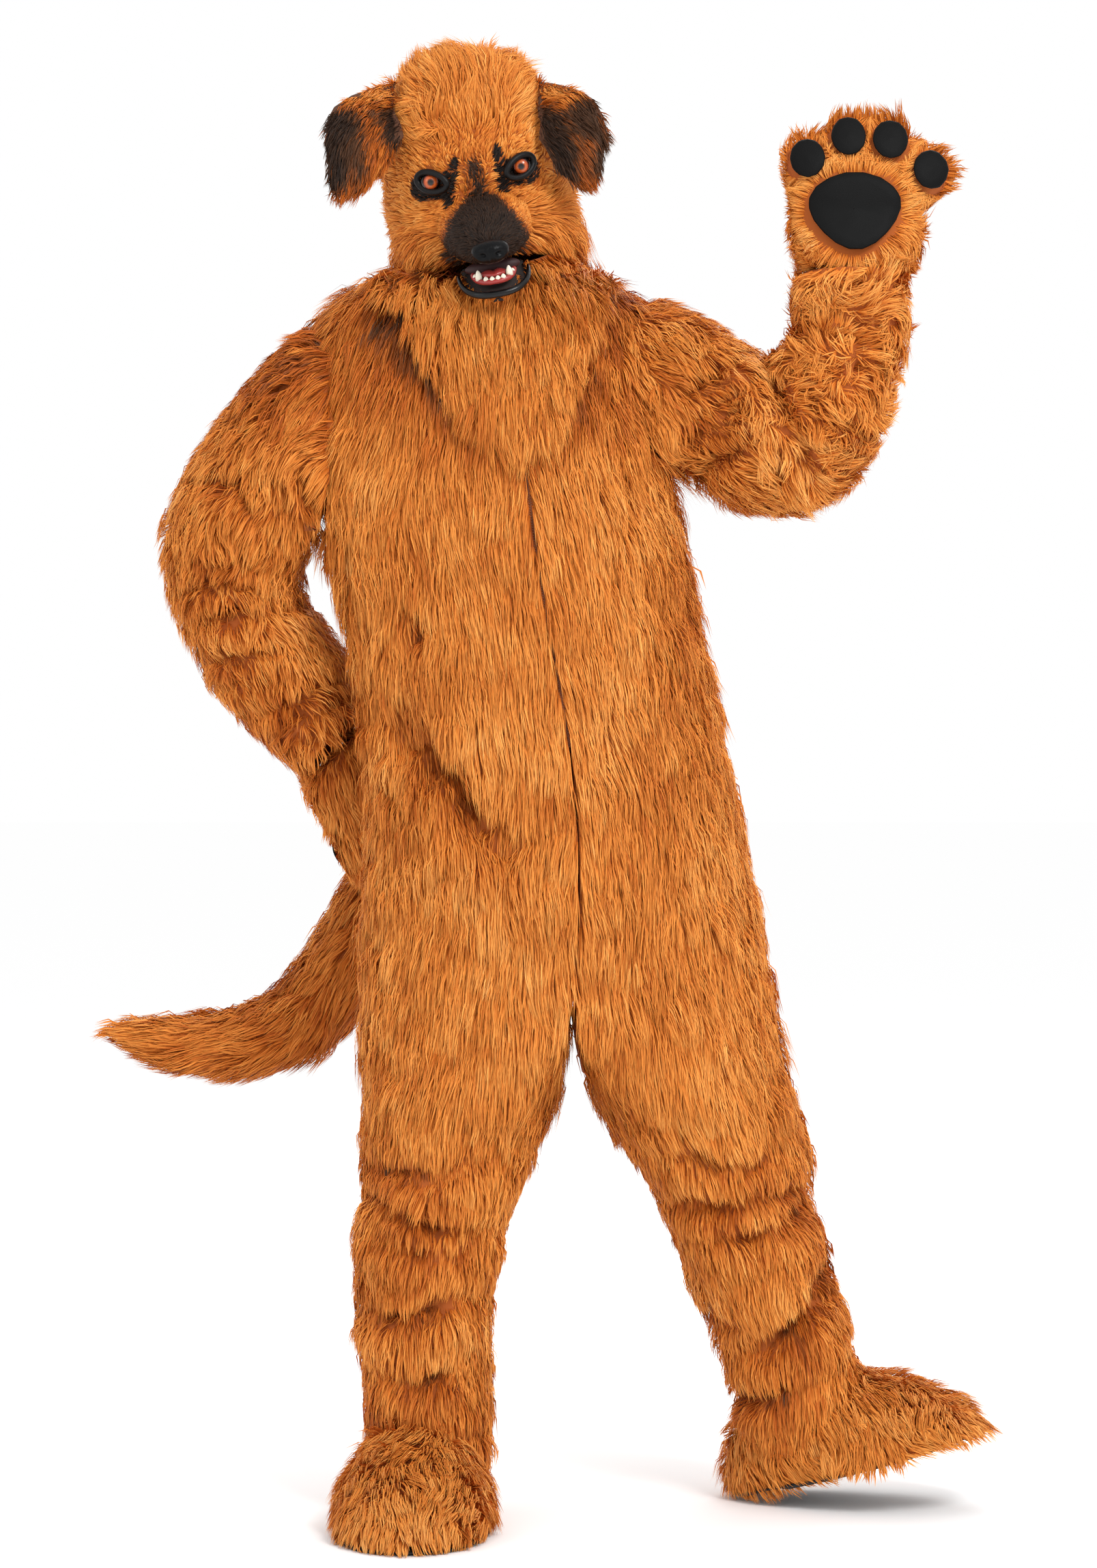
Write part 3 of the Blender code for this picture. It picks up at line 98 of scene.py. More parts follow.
# Lines down the middle of each hollow part, from the neck, shoulder or hip outwards.
TRUNK = ((0, 0, 0.05), (0, 0, -0.18), (0.034, 0, -0.357), (0.081, 0, -0.58), (0.098, 0, -0.86))
RIGHT_LEG = (
    (-0.031, 0, -0.87), (-0.05, -0.006, -1.04), (-0.073, -0.013, -1.17),
    (-0.076, -0.018, -1.30), (-0.076, -0.02, -1.46),
)
LEFT_LEG = (
    (0.229, 0, -0.87), (0.268, 0.024, -1.0), (0.317, 0.048, -1.134),
    (0.349, 0.064, -1.219), (0.388, 0.086, -1.34), (0.398, 0.094, -1.43),
)
LEFT_ARM = (
    (0.12, 0, -0.093), (0.288, -0.005, -0.13), (0.334, -0.015, -0.154), (0.376, -0.03, -0.16),
    (0.406, -0.045, -0.138), (0.425, -0.055, -0.103), (0.434, -0.06, -0.065),
    (0.443, -0.065, -0.026), (0.446, -0.075, 0.038),
)
RIGHT_ARM = (
    (-0.1, 0, -0.124), (-0.214, 0.002, -0.147), (-0.25, 0.01, -0.177), (-0.286, 0.025, -0.216),
    (-0.311, 0.04, -0.26), (-0.326, 0.05, -0.303), (-0.321, 0.06, -0.341), (-0.303, 0.068, -0.38),
    (-0.278, 0.078, -0.425), (-0.248, 0.088, -0.469), (-0.216, 0.098, -0.506), (-0.194, 0.106, -0.533),
)
TAIL = (
    (0.080, 0.100, -0.555), (0.050, 0.175, -0.570), (-0.010, 0.240, -0.598), (-0.080, 0.276, -0.655),
    (-0.130, 0.286, -0.725), (-0.176, 0.282, -0.804), (-0.232, 0.270, -0.880), (-0.302, 0.256, -0.918),
    (-0.380, 0.252, -0.928), (-0.445, 0.250, -0.919), (-0.505, 0.250, -0.904),
)
LEFT_EAR = ((0.028, -0.03, 0.258), (0.075, -0.084, 0.242), (0.11, -0.104, 0.195), (0.123, -0.092, 0.135))
RIGHT_EAR = ((-0.086, -0.03, 0.262), (-0.134, -0.086, 0.235), (-0.156, -0.108, 0.184), (-0.175, -0.096, 0.126))


def head_point(x, y, z):
    return tuple(TO_HEAD @ Vector((x, y, z)))


def head_line(*points):
    return tuple(head_point(*p) for p in points)


HEAD_MIDDLE = head_line((0, 0.0, 0.02), (0, 0.0, 0.03))
SNOUT_LINE = head_line((0, -0.235, -0.075), (0, -0.10, -0.055))
JAW_LINE = head_line((0, -0.215, -0.145), (0, -0.10, -0.115))
NECK_LINE = ((-0.01, 0, 0.12), (-0.01, 0, -0.15))
LEFT_PALM_LINE = ((0.450, -0.08, 0.06), (0.455, -0.078, 0.13))
RIGHT_PALM_LINE = ((-0.180, 0.114, -0.555), (-0.146, 0.134, -0.607))
RIGHT_SHOE_LINE = ((-0.089, -0.02, -1.40), (-0.089, -0.22, -1.47))
LEFT_SHOE_LINE = ((0.41, 0.10, -1.37), (0.56, 0.05, -1.46))

PAINTED_TONE, PAINTED_EDGE, PILE_EDGE = 0.07, 0.002, 0.012  # the darkest marks have a crisp edge
# Marks on the mask: capsules across the picture, from one round end to the other, with their tone
MARK_COLUMNS = "x0 z0 x1 z1 start end tone".split()
MARKS = {
    "mask_head": (
        (-0.077, 0.144, -0.054, 0.143, 0.0178, 0.0160, 0.04),
        (-0.048, 0.149, -0.039, 0.172, 0.0100, 0.0045, 0.04),
        (-0.047, 0.137, -0.048, 0.109, 0.0070, 0.0040, 0.05),
        (0.045, 0.165, 0.027, 0.158, 0.0190, 0.0150, 0.04),
        (0.019, 0.160, 0.010, 0.188, 0.0095, 0.0045, 0.04),
        (0.018, 0.147, 0.024, 0.116, 0.0070, 0.0038, 0.05),
        (-0.017, 0.166, -0.007, 0.113, 0.0090, 0.0140, 0.14),
        (-0.007, 0.113, -0.003, 0.085, 0.0200, 0.0371, 0.14),
        (-0.048, 0.060, -0.035, 0.044, 0.0090, 0.0070, 0.16),
        (0.043, 0.070, 0.039, 0.050, 0.0070, 0.0050, 0.16),
    ),
    "mask_muzzle": (
        (-0.014, 0.150, -0.006, 0.108, 0.0110, 0.0260, 0.15),
        (-0.005, 0.102, -0.003, 0.075, 0.0300, 0.0480, 0.14),
        (-0.003, 0.072, -0.006, 0.040, 0.0500, 0.0560, 0.13),
        (-0.060, 0.062, -0.035, 0.036, 0.0130, 0.0120, 0.13),
        (0.050, 0.072, 0.042, 0.030, 0.0120, 0.0120, 0.13),
    ),
    "ear_right": (
        (-0.180, 0.212, -0.184, 0.150, 0.0240, 0.0150, 0.14),
        (-0.115, 0.226, -0.114, 0.196, 0.0120, 0.0090, 0.13),
        (-0.161, 0.186, -0.155, 0.157, 0.0148, 0.0099, 0.24),
    ),
    "ear_left": (
        (0.117, 0.232, 0.139, 0.171, 0.0200, 0.0150, 0.20),
        (0.074, 0.217, 0.096, 0.162, 0.0178, 0.0148, 0.14),
        (0.055, 0.234, 0.065, 0.204, 0.0064, 0.0059, 0.13),
        (0.122, 0.191, 0.117, 0.152, 0.0089, 0.0069, 0.34),
    ),
}

# Creases of the worn cloth, as lines across the picture (x, z), with half width and depth
CREASE_COLUMNS = "line half depth".split()
CREASES = {
    "right_leg": (
        (((-0.150, -1.079), (-0.099, -1.105), (-0.040, -1.126), (0.002, -1.113)), 0.014, 0.024),
        (((-0.145, -1.113), (-0.108, -1.138), (-0.070, -1.152), (-0.013, -1.149)), 0.013, 0.018),
        (((-0.162, -1.210), (-0.099, -1.235), (-0.057, -1.207), (-0.015, -1.197)), 0.016, 0.020),
        (((-0.130, -1.292), (-0.080, -1.304), (-0.040, -1.287)), 0.014, 0.014),
        (((-0.134, -1.361), (-0.071, -1.384), (0.000, -1.368)), 0.012, 0.016),
        (((-0.147, -1.042), (-0.080, -1.052), (-0.013, -1.033)), 0.016, 0.008),
    ),
    "left_leg": (
        (((0.230, -1.021), (0.285, -1.046), (0.323, -1.043), (0.352, -1.029)), 0.014, 0.020),
        (((0.230, -1.088), (0.281, -1.094), (0.352, -1.081), (0.394, -1.075)), 0.013, 0.026),
        (((0.281, -1.130), (0.323, -1.136), (0.365, -1.117), (0.394, -1.096)), 0.013, 0.020),
        (((0.419, -1.159), (0.407, -1.218), (0.369, -1.260), (0.311, -1.278)), 0.020, 0.026),
        (((0.268, -1.231), (0.315, -1.260)), 0.012, 0.010),
        (((0.248, -1.327), (0.323, -1.346), (0.391, -1.319)), 0.013, 0.018),
    ),
    "trunk": (
        (((-0.109, -0.462), (-0.060, -0.549), (-0.013, -0.609), (0.071, -0.669)), 0.024, 0.034),
        (((-0.097, -0.353), (-0.076, -0.420)), 0.014, 0.008),
    ),
    "right_arm": (
        (((-0.346, -0.210), (-0.304, -0.207), (-0.275, -0.258)), 0.011, 0.014),
        (((-0.375, -0.297), (-0.323, -0.307), (-0.268, -0.310)), 0.010, 0.020),
        (((-0.382, -0.333), (-0.317, -0.330), (-0.278, -0.339)), 0.010, 0.014),
        (((-0.369, -0.372), (-0.304, -0.368), (-0.246, -0.359)), 0.011, 0.022),
        (((-0.356, -0.420), (-0.304, -0.420), (-0.256, -0.410)), 0.009, 0.016),
        (((-0.330, -0.446), (-0.285, -0.452), (-0.252, -0.446)), 0.008, 0.012),
        (((-0.285, -0.481), (-0.239, -0.472), (-0.194, -0.449)), 0.010, 0.020),
        (((-0.278, -0.510), (-0.220, -0.491), (-0.175, -0.465)), 0.010, 0.016),
        (((-0.256, -0.530), (-0.201, -0.517), (-0.155, -0.498)), 0.009, 0.010),
        (((-0.256, -0.200), (-0.241, -0.253)), 0.009, 0.010),
        (((-0.226, -0.191), (-0.206, -0.253)), 0.010, 0.014),
    ),
    "left_arm": (
        (((0.224, -0.106), (0.259, -0.089), (0.295, -0.065)), 0.011, 0.016),
        (((0.237, -0.135), (0.280, -0.115), (0.326, -0.084)), 0.011, 0.022),
        (((0.231, -0.163), (0.280, -0.140), (0.323, -0.115)), 0.011, 0.022),
        (((0.246, -0.184), (0.280, -0.181), (0.317, -0.163)), 0.011, 0.018),
        (((0.341, -0.072), (0.362, -0.123), (0.384, -0.175), (0.403, -0.209)), 0.011, 0.026),
        (((0.356, -0.158), (0.357, -0.218)), 0.009, 0.014),
        (((0.392, -0.069), (0.435, -0.078), (0.478, -0.075)), 0.009, 0.018),
        (((0.379, -0.039), (0.422, -0.041), (0.461, -0.051)), 0.009, 0.014),
        (((0.420, -0.003), (0.448, -0.024), (0.474, -0.028)), 0.008, 0.012),
        (((0.427, 0.023), (0.461, 0.021), (0.491, 0.015)), 0.009, 0.010),
        (((0.410, -0.140), (0.444, -0.147), (0.476, -0.158)), 0.009, 0.014),
        (((0.384, -0.106), (0.403, -0.140)), 0.008, 0.010),
    ),
}
# A crease is steeper above than below; its cloth swells into a ridge under it.
ABOVE_SHARE, BELOW_SHARE, CREASE_ENDS, CREASE_END_LEAST = 0.55, 1.35, 4, 0.15
RIDGE_PLACE, RIDGE_WIDTH, RIDGE_HEIGHT, CREASE_DEPTH = 1.7, 0.8, 0.22, 1.15
CREASE_STEP, CREASE_TILT = 0.003, 0.8
CREASED = {
    "front_right": ("right_leg", "trunk"), "back_right": ("right_leg", "trunk"),
    "front_left": ("left_leg", "trunk"), "back_left": ("left_leg", "trunk"),
    "sleeve_right": ("right_arm",), "sleeve_left": ("left_arm",),
}

# The seam down the front: height and x
SEAM = (
    (0.05, 0.012), (-0.03, 0.022), (-0.18, 0.040), (-0.357, 0.067), (-0.454, 0.086),
    (-0.58, 0.106), (-0.70, 0.113), (-0.79, 0.110), (-0.867, 0.103),
)

# A coat of pile for each furred piece. It is combed along its line, away from a point and down, in those
# shares. "length" and "width" are a blade's, "share" is its blades per square centimetre, "lean" is how
# flat it lies, "gather" how far tufts draw together, "inset" how deep its cloth lies under the solid's
# face, and "tone" runs from black 0 to cream 1.
COAT_COLUMNS = "node lines away_from along away down length width share lean gather inset tone".split()
BODY = 0.585
FRONT_SHARE, BACK_SHARE = 10.2, 4.5
# How far the pile strays from its combing, and what it does elsewhere
WILD = {
    "front": 0.20, "back": 0.24, "sleeve": 0.58, "shoe": 0.70, "mask_bib": 0.62, "mask_head": 0.46,
    "mitt": 0.45,
}
WILD_ELSEWHERE = 0.30
COATS = (
    ("front_right", (TRUNK, RIGHT_LEG), None, 0.6, 0, 0.5,
     0.050, 0.0017, FRONT_SHARE, 0.93, 0.18, 0.009, BODY),
    ("front_left", (TRUNK, LEFT_LEG), None, 0.6, 0, 0.5,
     0.050, 0.0017, FRONT_SHARE, 0.93, 0.18, 0.009, BODY),
    ("back_right", (TRUNK, RIGHT_LEG), None, 0.6, 0, 0.5,
     0.050, 0.0030, BACK_SHARE, 0.90, 0.30, 0.010, BODY),
    ("back_left", (TRUNK, LEFT_LEG), None, 0.6, 0, 0.5,
     0.050, 0.0030, BACK_SHARE, 0.90, 0.30, 0.010, BODY),
    ("sleeve_right", (RIGHT_ARM,), None, 0.7, 0, 0.4,
     0.037, 0.0019, 11.0, 0.81, 0.40, 0.006, BODY),
    ("sleeve_left", (LEFT_ARM,), None, 0.5, 0, 0.5,
     0.037, 0.0019, 11.0, 0.81, 0.40, 0.006, 0.645),
    # the tail's lower tone is painted shade, as it hangs in shadow behind the figure
    ("tail", (TAIL,), None, 1.0, 0, 0.12,
     0.046, 0.0022, 9.0, 0.90, 0.35, 0.010, 0.53),
    ("mask_head", (HEAD_MIDDLE,), (0, -0.165, -0.085), 0, 0.8, 0.25,
     0.036, 0.0015, 20.0, 0.85, 0.35, 0.007, 0.605),
    ("mask_bib", (NECK_LINE,), None, 1.0, 0, 0.5,
     0.058, 0.0018, 20.0, 0.86, 0.40, 0.009, 0.56),
    ("mask_muzzle", (SNOUT_LINE,), (0, -0.232, -0.082), 0.6, 0.6, 0.25,
     0.010, 0.0012, 42.0, 0.90, 0.2, 0.004, 0.58),
    ("mask_jaw", (JAW_LINE,), (0, -0.222, -0.110), 0.6, 0.4, 0.8,
     0.020, 0.0013, 40.0, 0.84, 0.3, 0.005, 0.60),
    ("ear_left", (LEFT_EAR,), (0.085, -0.02, 0.205), 0.9, 0.9, 0.2,
     0.023, 0.0014, 26.0, 0.88, 0.3, 0.004, 0.29),
    ("ear_right", (RIGHT_EAR,), (-0.145, -0.02, 0.20), 0.9, 0.9, 0.2,
     0.023, 0.0014, 26.0, 0.88, 0.3, 0.004, 0.38),
    ("mitt_left_palm", (LEFT_PALM_LINE,), LEFT_PAW_CENTRE, 0.3, 0.9, 0,
     0.020, 0.0014, 26.0, 0.86, 0.3, 0.006, BODY),
    ("mitt_left_back", (LEFT_PALM_LINE,), LEFT_PAW_CENTRE, 0.4, 0.7, 0.3,
     0.034, 0.0020, 12.0, 0.82, 0.3, 0.009, BODY),
    ("mitt_right_palm", (RIGHT_PALM_LINE,), RIGHT_PAW_CENTRE, 0.2, 1.0, 0.1,
     0.020, 0.0016, 20.0, 0.80, 0.3, 0.006, BODY),
    ("mitt_right_back", (RIGHT_PALM_LINE,), RIGHT_PAW_CENTRE, 0.9, 0.3, 0.3,
     0.036, 0.0018, 14.0, 0.84, 0.35, 0.010, BODY),
    ("shoe_right_upper", (RIGHT_SHOE_LINE,), None, 0.7, 0, 0.6,
     0.042, 0.0019, 14.0, 0.83, 0.4, 0.006, 0.61),
    ("shoe_left_upper", (LEFT_SHOE_LINE,), None, 0.7, 0, 0.6,
     0.042, 0.0019, 14.0, 0.83, 0.4, 0.006, 0.61),
)


def linked(name, data):
    made = bpy.data.objects.new(name, data)
    bpy.context.scene.collection.objects.link(made)
    return made


def tree_of(points):
    tree = KDTree(len(points))
    for i, point in enumerate(points):
        tree.insert(point, i)
    tree.balance()
    return tree


def unit(a):
    return a / np.maximum(np.linalg.norm(a, axis=-1, keepdims=True), 1e-9)


def nearest_on(lines, points):
    """The nearest point of the lines to each point, and the line's direction there."""
    best = np.full(len(points), 1e9)
    where, heading = np.zeros_like(points), np.zeros_like(points)
    for line in lines:
        for a, b in zip(line, line[1:]):
            a, b = np.array(a, float), np.array(b, float)
            run = b - a
            t = np.clip((points - a) @ run / (run @ run), 0, 1)
            q = a + t[:, None] * run
            gap = np.linalg.norm(points - q, axis=1)
            closer = gap < best
            best[closer], where[closer], heading[closer] = gap[closer], q[closer], unit(run)
    return where, heading


def smoothed(bm, verts):
    bmesh.ops.smooth_vert(
        bm, verts=verts, factor=0.5, use_axis_x=True, use_axis_y=True, use_axis_z=True
    )


def outer_skin(name, lines, inset):
    """The outward faces of a node, made finer, smoothed and drawn in to the backing of its pile."""
    bm = bmesh.new()
    bm.from_mesh(NODES[name].data)
    bmesh.ops.remove_doubles(bm, verts=bm.verts, dist=MERGE)
    bm.normal_update()
    bm.faces.ensure_lookup_table()
    middles = np.array([f.calc_center_median() for f in bm.faces])
    facing = np.array([f.normal for f in bm.faces])
    where, _ = nearest_on(lines, middles)
    outward = (unit(middles - where) * facing).sum(axis=1) > OUTWARD
    if name.startswith(("tail", "ear")):
        outward[:] = True
    bmesh.ops.delete(bm, geom=[f for f, keep in zip(bm.faces, outward) if not keep], context="FACES")
    bmesh.ops.delete(bm, geom=[v for v in bm.verts if not v.link_faces], context="VERTS")
    for _ in range(2):
        bmesh.ops.subdivide_edges(
            bm, edges=[e for e in bm.edges if e.calc_length() > LONGEST_EDGE], cuts=1, use_grid_fill=True
        )
        bmesh.ops.triangulate(bm, faces=bm.faces)
        inner = [v for v in bm.verts if not v.is_boundary]
        for _ in range(2):
            smoothed(bm, inner)
    bm.normal_update()
    for v in bm.verts:
        v.co -= v.normal * inset
    mesh = bpy.data.meshes.new(name + "_backing")
    bm.to_mesh(mesh)
    bm.free()
    mesh.shade_smooth()
    return linked(name + "_backing", mesh)


def scatter(mesh, count, rng):
    """Points spread evenly over a mesh, with its smooth normals there."""
    mesh.calc_loop_triangles()
    corners = np.empty(len(mesh.loop_triangles) * 3, np.int32)
    mesh.loop_triangles.foreach_get("vertices", corners)
    corners = corners.reshape(-1, 3)
    at = np.empty(len(mesh.vertices) * 3)
    mesh.vertices.foreach_get("co", at)
    at = at.reshape(-1, 3)
    facing = np.empty(len(mesh.vertices) * 3, np.float32)
    mesh.vertex_normals.foreach_get("vector", facing)
    facing = facing.reshape(-1, 3).astype(float)
    a, b, c = (at[corners[:, k]] for k in range(3))
    area = np.linalg.norm(np.cross(b - a, c - a), axis=1) / 2
    number = int(count * area.sum() * 1e4)
    chosen = rng.choice(len(corners), number, p=area / area.sum())
    u, v = rng.random(number), rng.random(number)
    flip = u + v > 1
    u[flip], v[flip] = 1 - u[flip], 1 - v[flip]
    share = np.stack([1 - u - v, u, v], axis=1)[:, :, None]
    picked = corners[chosen]
    return (at[picked] * share).sum(axis=1), unit((facing[picked] * share).sum(axis=1))


def drift(points, size, seed):
    """A smooth, slowly changing number from -1 to 1 at each point."""
    rng = np.random.default_rng(seed)
    total = np.zeros(len(points))
    for _ in range(5):
        wave = unit(rng.normal(size=3)) * (2 * math.pi / size) * rng.uniform(0.6, 1.5)
        total += np.sin(points @ wave + rng.uniform(0, 6.3))
    return total / 3


def tufts(points, per_tuft, rng):
    """For each point, the index of the point that its tuft gathers round."""
    heads = rng.choice(len(points), max(1, len(points) // per_tuft), replace=False)
    tree = tree_of(points[heads])
    return heads[[tree.find(p)[1] for p in points]]


def crease_depth(parts, points, shift):
    """How deep the creases of these parts push each point, and how much of a crease it is in."""
    depth, share = np.zeros(len(points)), np.zeros(len(points))
    x, z = points[:, 0], points[:, 2] + shift
    for values in (row for part in parts for row in CREASES[part]):
        row = dict(zip(CREASE_COLUMNS, values))
        line = np.array(row["line"])
        lengths = np.linalg.norm(np.diff(line, axis=0), axis=1)
        marks = np.concatenate([[0], np.cumsum(lengths)]) / lengths.sum()
        best = np.full(len(points), 1e9)
        above, place = np.zeros(len(points)), np.zeros(len(points))
        for k, (a, b) in enumerate(zip(line, line[1:])):
            run = b - a
            t = np.clip(((x - a[0]) * run[0] + (z - a[1]) * run[1]) / (run @ run), 0, 1)
            dx, dz = x - a[0] - t * run[0], z - a[1] - t * run[1]
            gap = np.hypot(dx, dz)
            closer = gap < best
            best[closer] = gap[closer]
            side = dz * run[0] - dx * run[1]
            above[closer] = (np.sign(side) * (1 if run[0] > 0 else -1))[closer]
            place[closer] = (marks[k] + (marks[k + 1] - marks[k]) * t)[closer]
        half = np.where(above > 0, row["half"] * ABOVE_SHARE, row["half"] * BELOW_SHARE)
        fade = np.clip(np.minimum(place, 1 - place) * CREASE_ENDS + CREASE_END_LEAST, 0, 1)
        into = np.exp(-((best / half) ** 2)) * fade
        ridge = np.exp(-(((best - RIDGE_PLACE * half) / (RIDGE_WIDTH * half)) ** 2)) * fade * (above < 0)
        depth += row["depth"] * (into * CREASE_DEPTH - RIDGE_HEIGHT * ridge)
        share = np.maximum(share, into)
    uneven = 0.45 + 1.05 * np.clip(0.5 + 0.9 * drift(points, CREASE_SIZE, 7), 0, 1)
    return depth * uneven, share * np.clip(uneven, 0, 1)


def creased(node, points, normals):
    """Points pushed into the creases, with normals turned to suit."""
    parts = CREASED.get(node)
    if not parts:
        return points, normals, np.zeros(len(points))
    shift = np.where(normals[:, 1] < 0.1, 0.0, HIDDEN_SHIFT)
    depth, share = crease_depth(parts, points, shift)
    slopes = []
    for way in ((CREASE_STEP, 0, 0), (0, 0, CREASE_STEP)):
        ahead, _ = crease_depth(parts, points + np.array(way), shift)
        slopes.append((ahead - depth) / CREASE_STEP)
    tilt = np.stack([slopes[0], np.zeros(len(points)), slopes[1]], axis=1)
    tilt -= (tilt * normals).sum(axis=1, keepdims=True) * normals
    return points - normals * depth[:, None], unit(normals + CREASE_TILT * tilt), share


def part_round_pads(node, roots, combed):
    """Drops the roots under the paw pads and combs their neighbours away from the pads."""
    side = "left" if "left" in node else "right"
    keep = np.ones(len(roots), bool)
    facing = np.array(PALM_FACING[side])
    for name in TOES:
        at = np.array([v.co for v in NODES[f"pad_{side}_{name}"].data.vertices])
        middle = (at.min(axis=0) + at.max(axis=0)) / 2
        flat = at - middle
        flat -= (flat @ facing)[:, None] * facing
        reach = flat - flat.mean(axis=0)
        size = np.linalg.norm(reach, axis=1).max()
        off = roots - middle
        off -= (off @ facing)[:, None] * facing
        distance = np.linalg.norm(off, axis=1)
        edge = rim_reach(reach, off, size)
        keep &= distance > edge
        near = np.clip(1 - (distance - edge) / PAD_SWEEP, 0, 1)
        combed += unit(off) * (near * PAD_PUSH)[:, None]
    return keep


def rim_reach(reach, off, size):
    """How far a pad's rim stands from its middle in the direction of each offset."""
    basis = np.linalg.svd(reach, full_matrices=False)[2][:2]
    rim_turn = np.arctan2(reach @ basis[1], reach @ basis[0])
    rim_size = np.linalg.norm(reach, axis=1)
    table = np.full(RIM_BINS, size * 0.5)
    for k in range(RIM_BINS):
        middle = k / RIM_BINS * 2 * math.pi - math.pi
        near = np.abs((rim_turn - middle + math.pi) % (2 * math.pi) - math.pi) < RIM_SPAN
        if near.any():
            table[k] = rim_size[near].max()
    turn = np.arctan2(off @ basis[1], off @ basis[0])
    place = ((turn + math.pi) / (2 * math.pi) * RIM_BINS).astype(int) % RIM_BINS
    return table[place] + PAD_CLEARANCE


def smooth_step(values, start, end):
    share = np.clip((values - start) / (end - start), 0, 1)
    return share * share * (3 - 2 * share)


def near_sole(node, roots):
    """How close each root of a shoe is to the rim of its sole, from 0 to 1."""
    tree = tree_of([v.co for v in NODES[node.replace("upper", "sole")].data.vertices])
    gap = np.array([tree.find(p)[2] for p in roots])
    return 1 - smooth_step(gap, SOLE_NEAR, SOLE_FAR)


def fit(node, roots, normals, combed):
    """Which roots stay, and how long their pile grows. Combs the rim of the head down over the neck."""
    if node.startswith("shoe"):
        return np.ones(len(roots), bool), 1 - SOLE_CUT * near_sole(node, roots)
    if node.startswith(("front", "back")):
        lower = smooth_step(-roots[:, 2], LOWER_LEG_TOP, LOWER_LEG_END)
        return np.ones(len(roots), bool), 1 - LOWER_LEG_CUT * lower
    to_face = np.array(TO_HEAD.inverted())
    x, y, z = (roots @ to_face[:3, :3].T + to_face[:3, 3]).T
    if node == "mask_jaw":
        return normals @ to_face[2, :3] < -0.1, np.ones(len(x))
    if node != "mask_head":
        return np.ones(len(x), bool), np.ones(len(x))
    eyes = np.hypot(np.abs(x) - EYE_X, z - EYE_Z)
    front = y < 0
    bridge = np.hypot(x, np.maximum(0, z - 0.01))
    near = np.minimum(eyes, bridge)
    rim = smooth_step(-z, RIM_TOP, RIM_FOOT) * np.where(front, smooth_step(near, RIM_NEAR, RIM_FAR), 1.0)
    combed += np.array([0, 0, -RIM_DROP]) * rim[:, None]
    size = FACE_LEAST + FACE_GROWTH * smooth_step(near, FACE_NEAR, FACE_FAR)
    size += CROWN_GROWTH * smooth_step(z, CROWN_LOW, CROWN_HIGH)
    return ~(front & (eyes < EYE_BALD)), np.where(front, size, 1.0) + RIM_GROWTH * rim


def combing(row, roots, normals):
    """The roots that stay, and the way their pile is combed before it strays."""
    node = row["node"]
    _, heading = nearest_on(row["lines"], roots)
    combed = heading * row["along"] + np.array([0, 0, -1.0]) * row["down"]
    if row["away_from"] is not None:
        source = head_point(*row["away_from"]) if node.startswith("mask") else row["away_from"]
        combed += unit(roots - np.array(source)) * row["away"]
    if node.endswith("palm"):
        keep = part_round_pads(node, roots, combed)
        roots, normals, combed = roots[keep], normals[keep], combed[keep]
    if node.startswith(("front", "back")):
        side = 1 if node.endswith("left") else -1
        joint = np.array(LEFT_ARM[1] if side > 0 else RIGHT_ARM[1]) * SHOULDER_INWARD
        near = np.exp(-((np.linalg.norm(roots - joint, axis=1) / SHOULDER_REACH) ** 2))
        combed[:, 0] += side * near * SHOULDER_PULL
    if node.startswith("front"):
        off = roots[:, 0] - np.interp(-roots[:, 2], [-z for z, _ in SEAM], [x for _, x in SEAM])
        beside = np.exp(-((off / SEAM_WIDTH) ** 2)) * (roots[:, 2] > SEAM[-1][0])
        combed[:, 0] += np.sign(off) * beside * SEAM_PARTING
        keep = (np.abs(off) > SEAM_GAP) | (beside < 0.5)
        roots, normals, combed = roots[keep], normals[keep], combed[keep]
    return roots, normals, combed


def strayed(combed, roots, normals, wild, seed):
    """The combing with slow sways and swirls, laid flat on the cloth."""
    sway = np.stack([drift(roots, SWAY_SIZE, seed + k) for k in range(3)], axis=1)
    swirl = np.stack([drift(roots, SWIRL_SIZE, seed + 5 + k) for k in range(3)], axis=1)
    combed += wild * SWAY * sway + wild * SWIRL * swirl
    combed -= (combed * normals).sum(axis=1, keepdims=True) * normals
    return unit(combed)


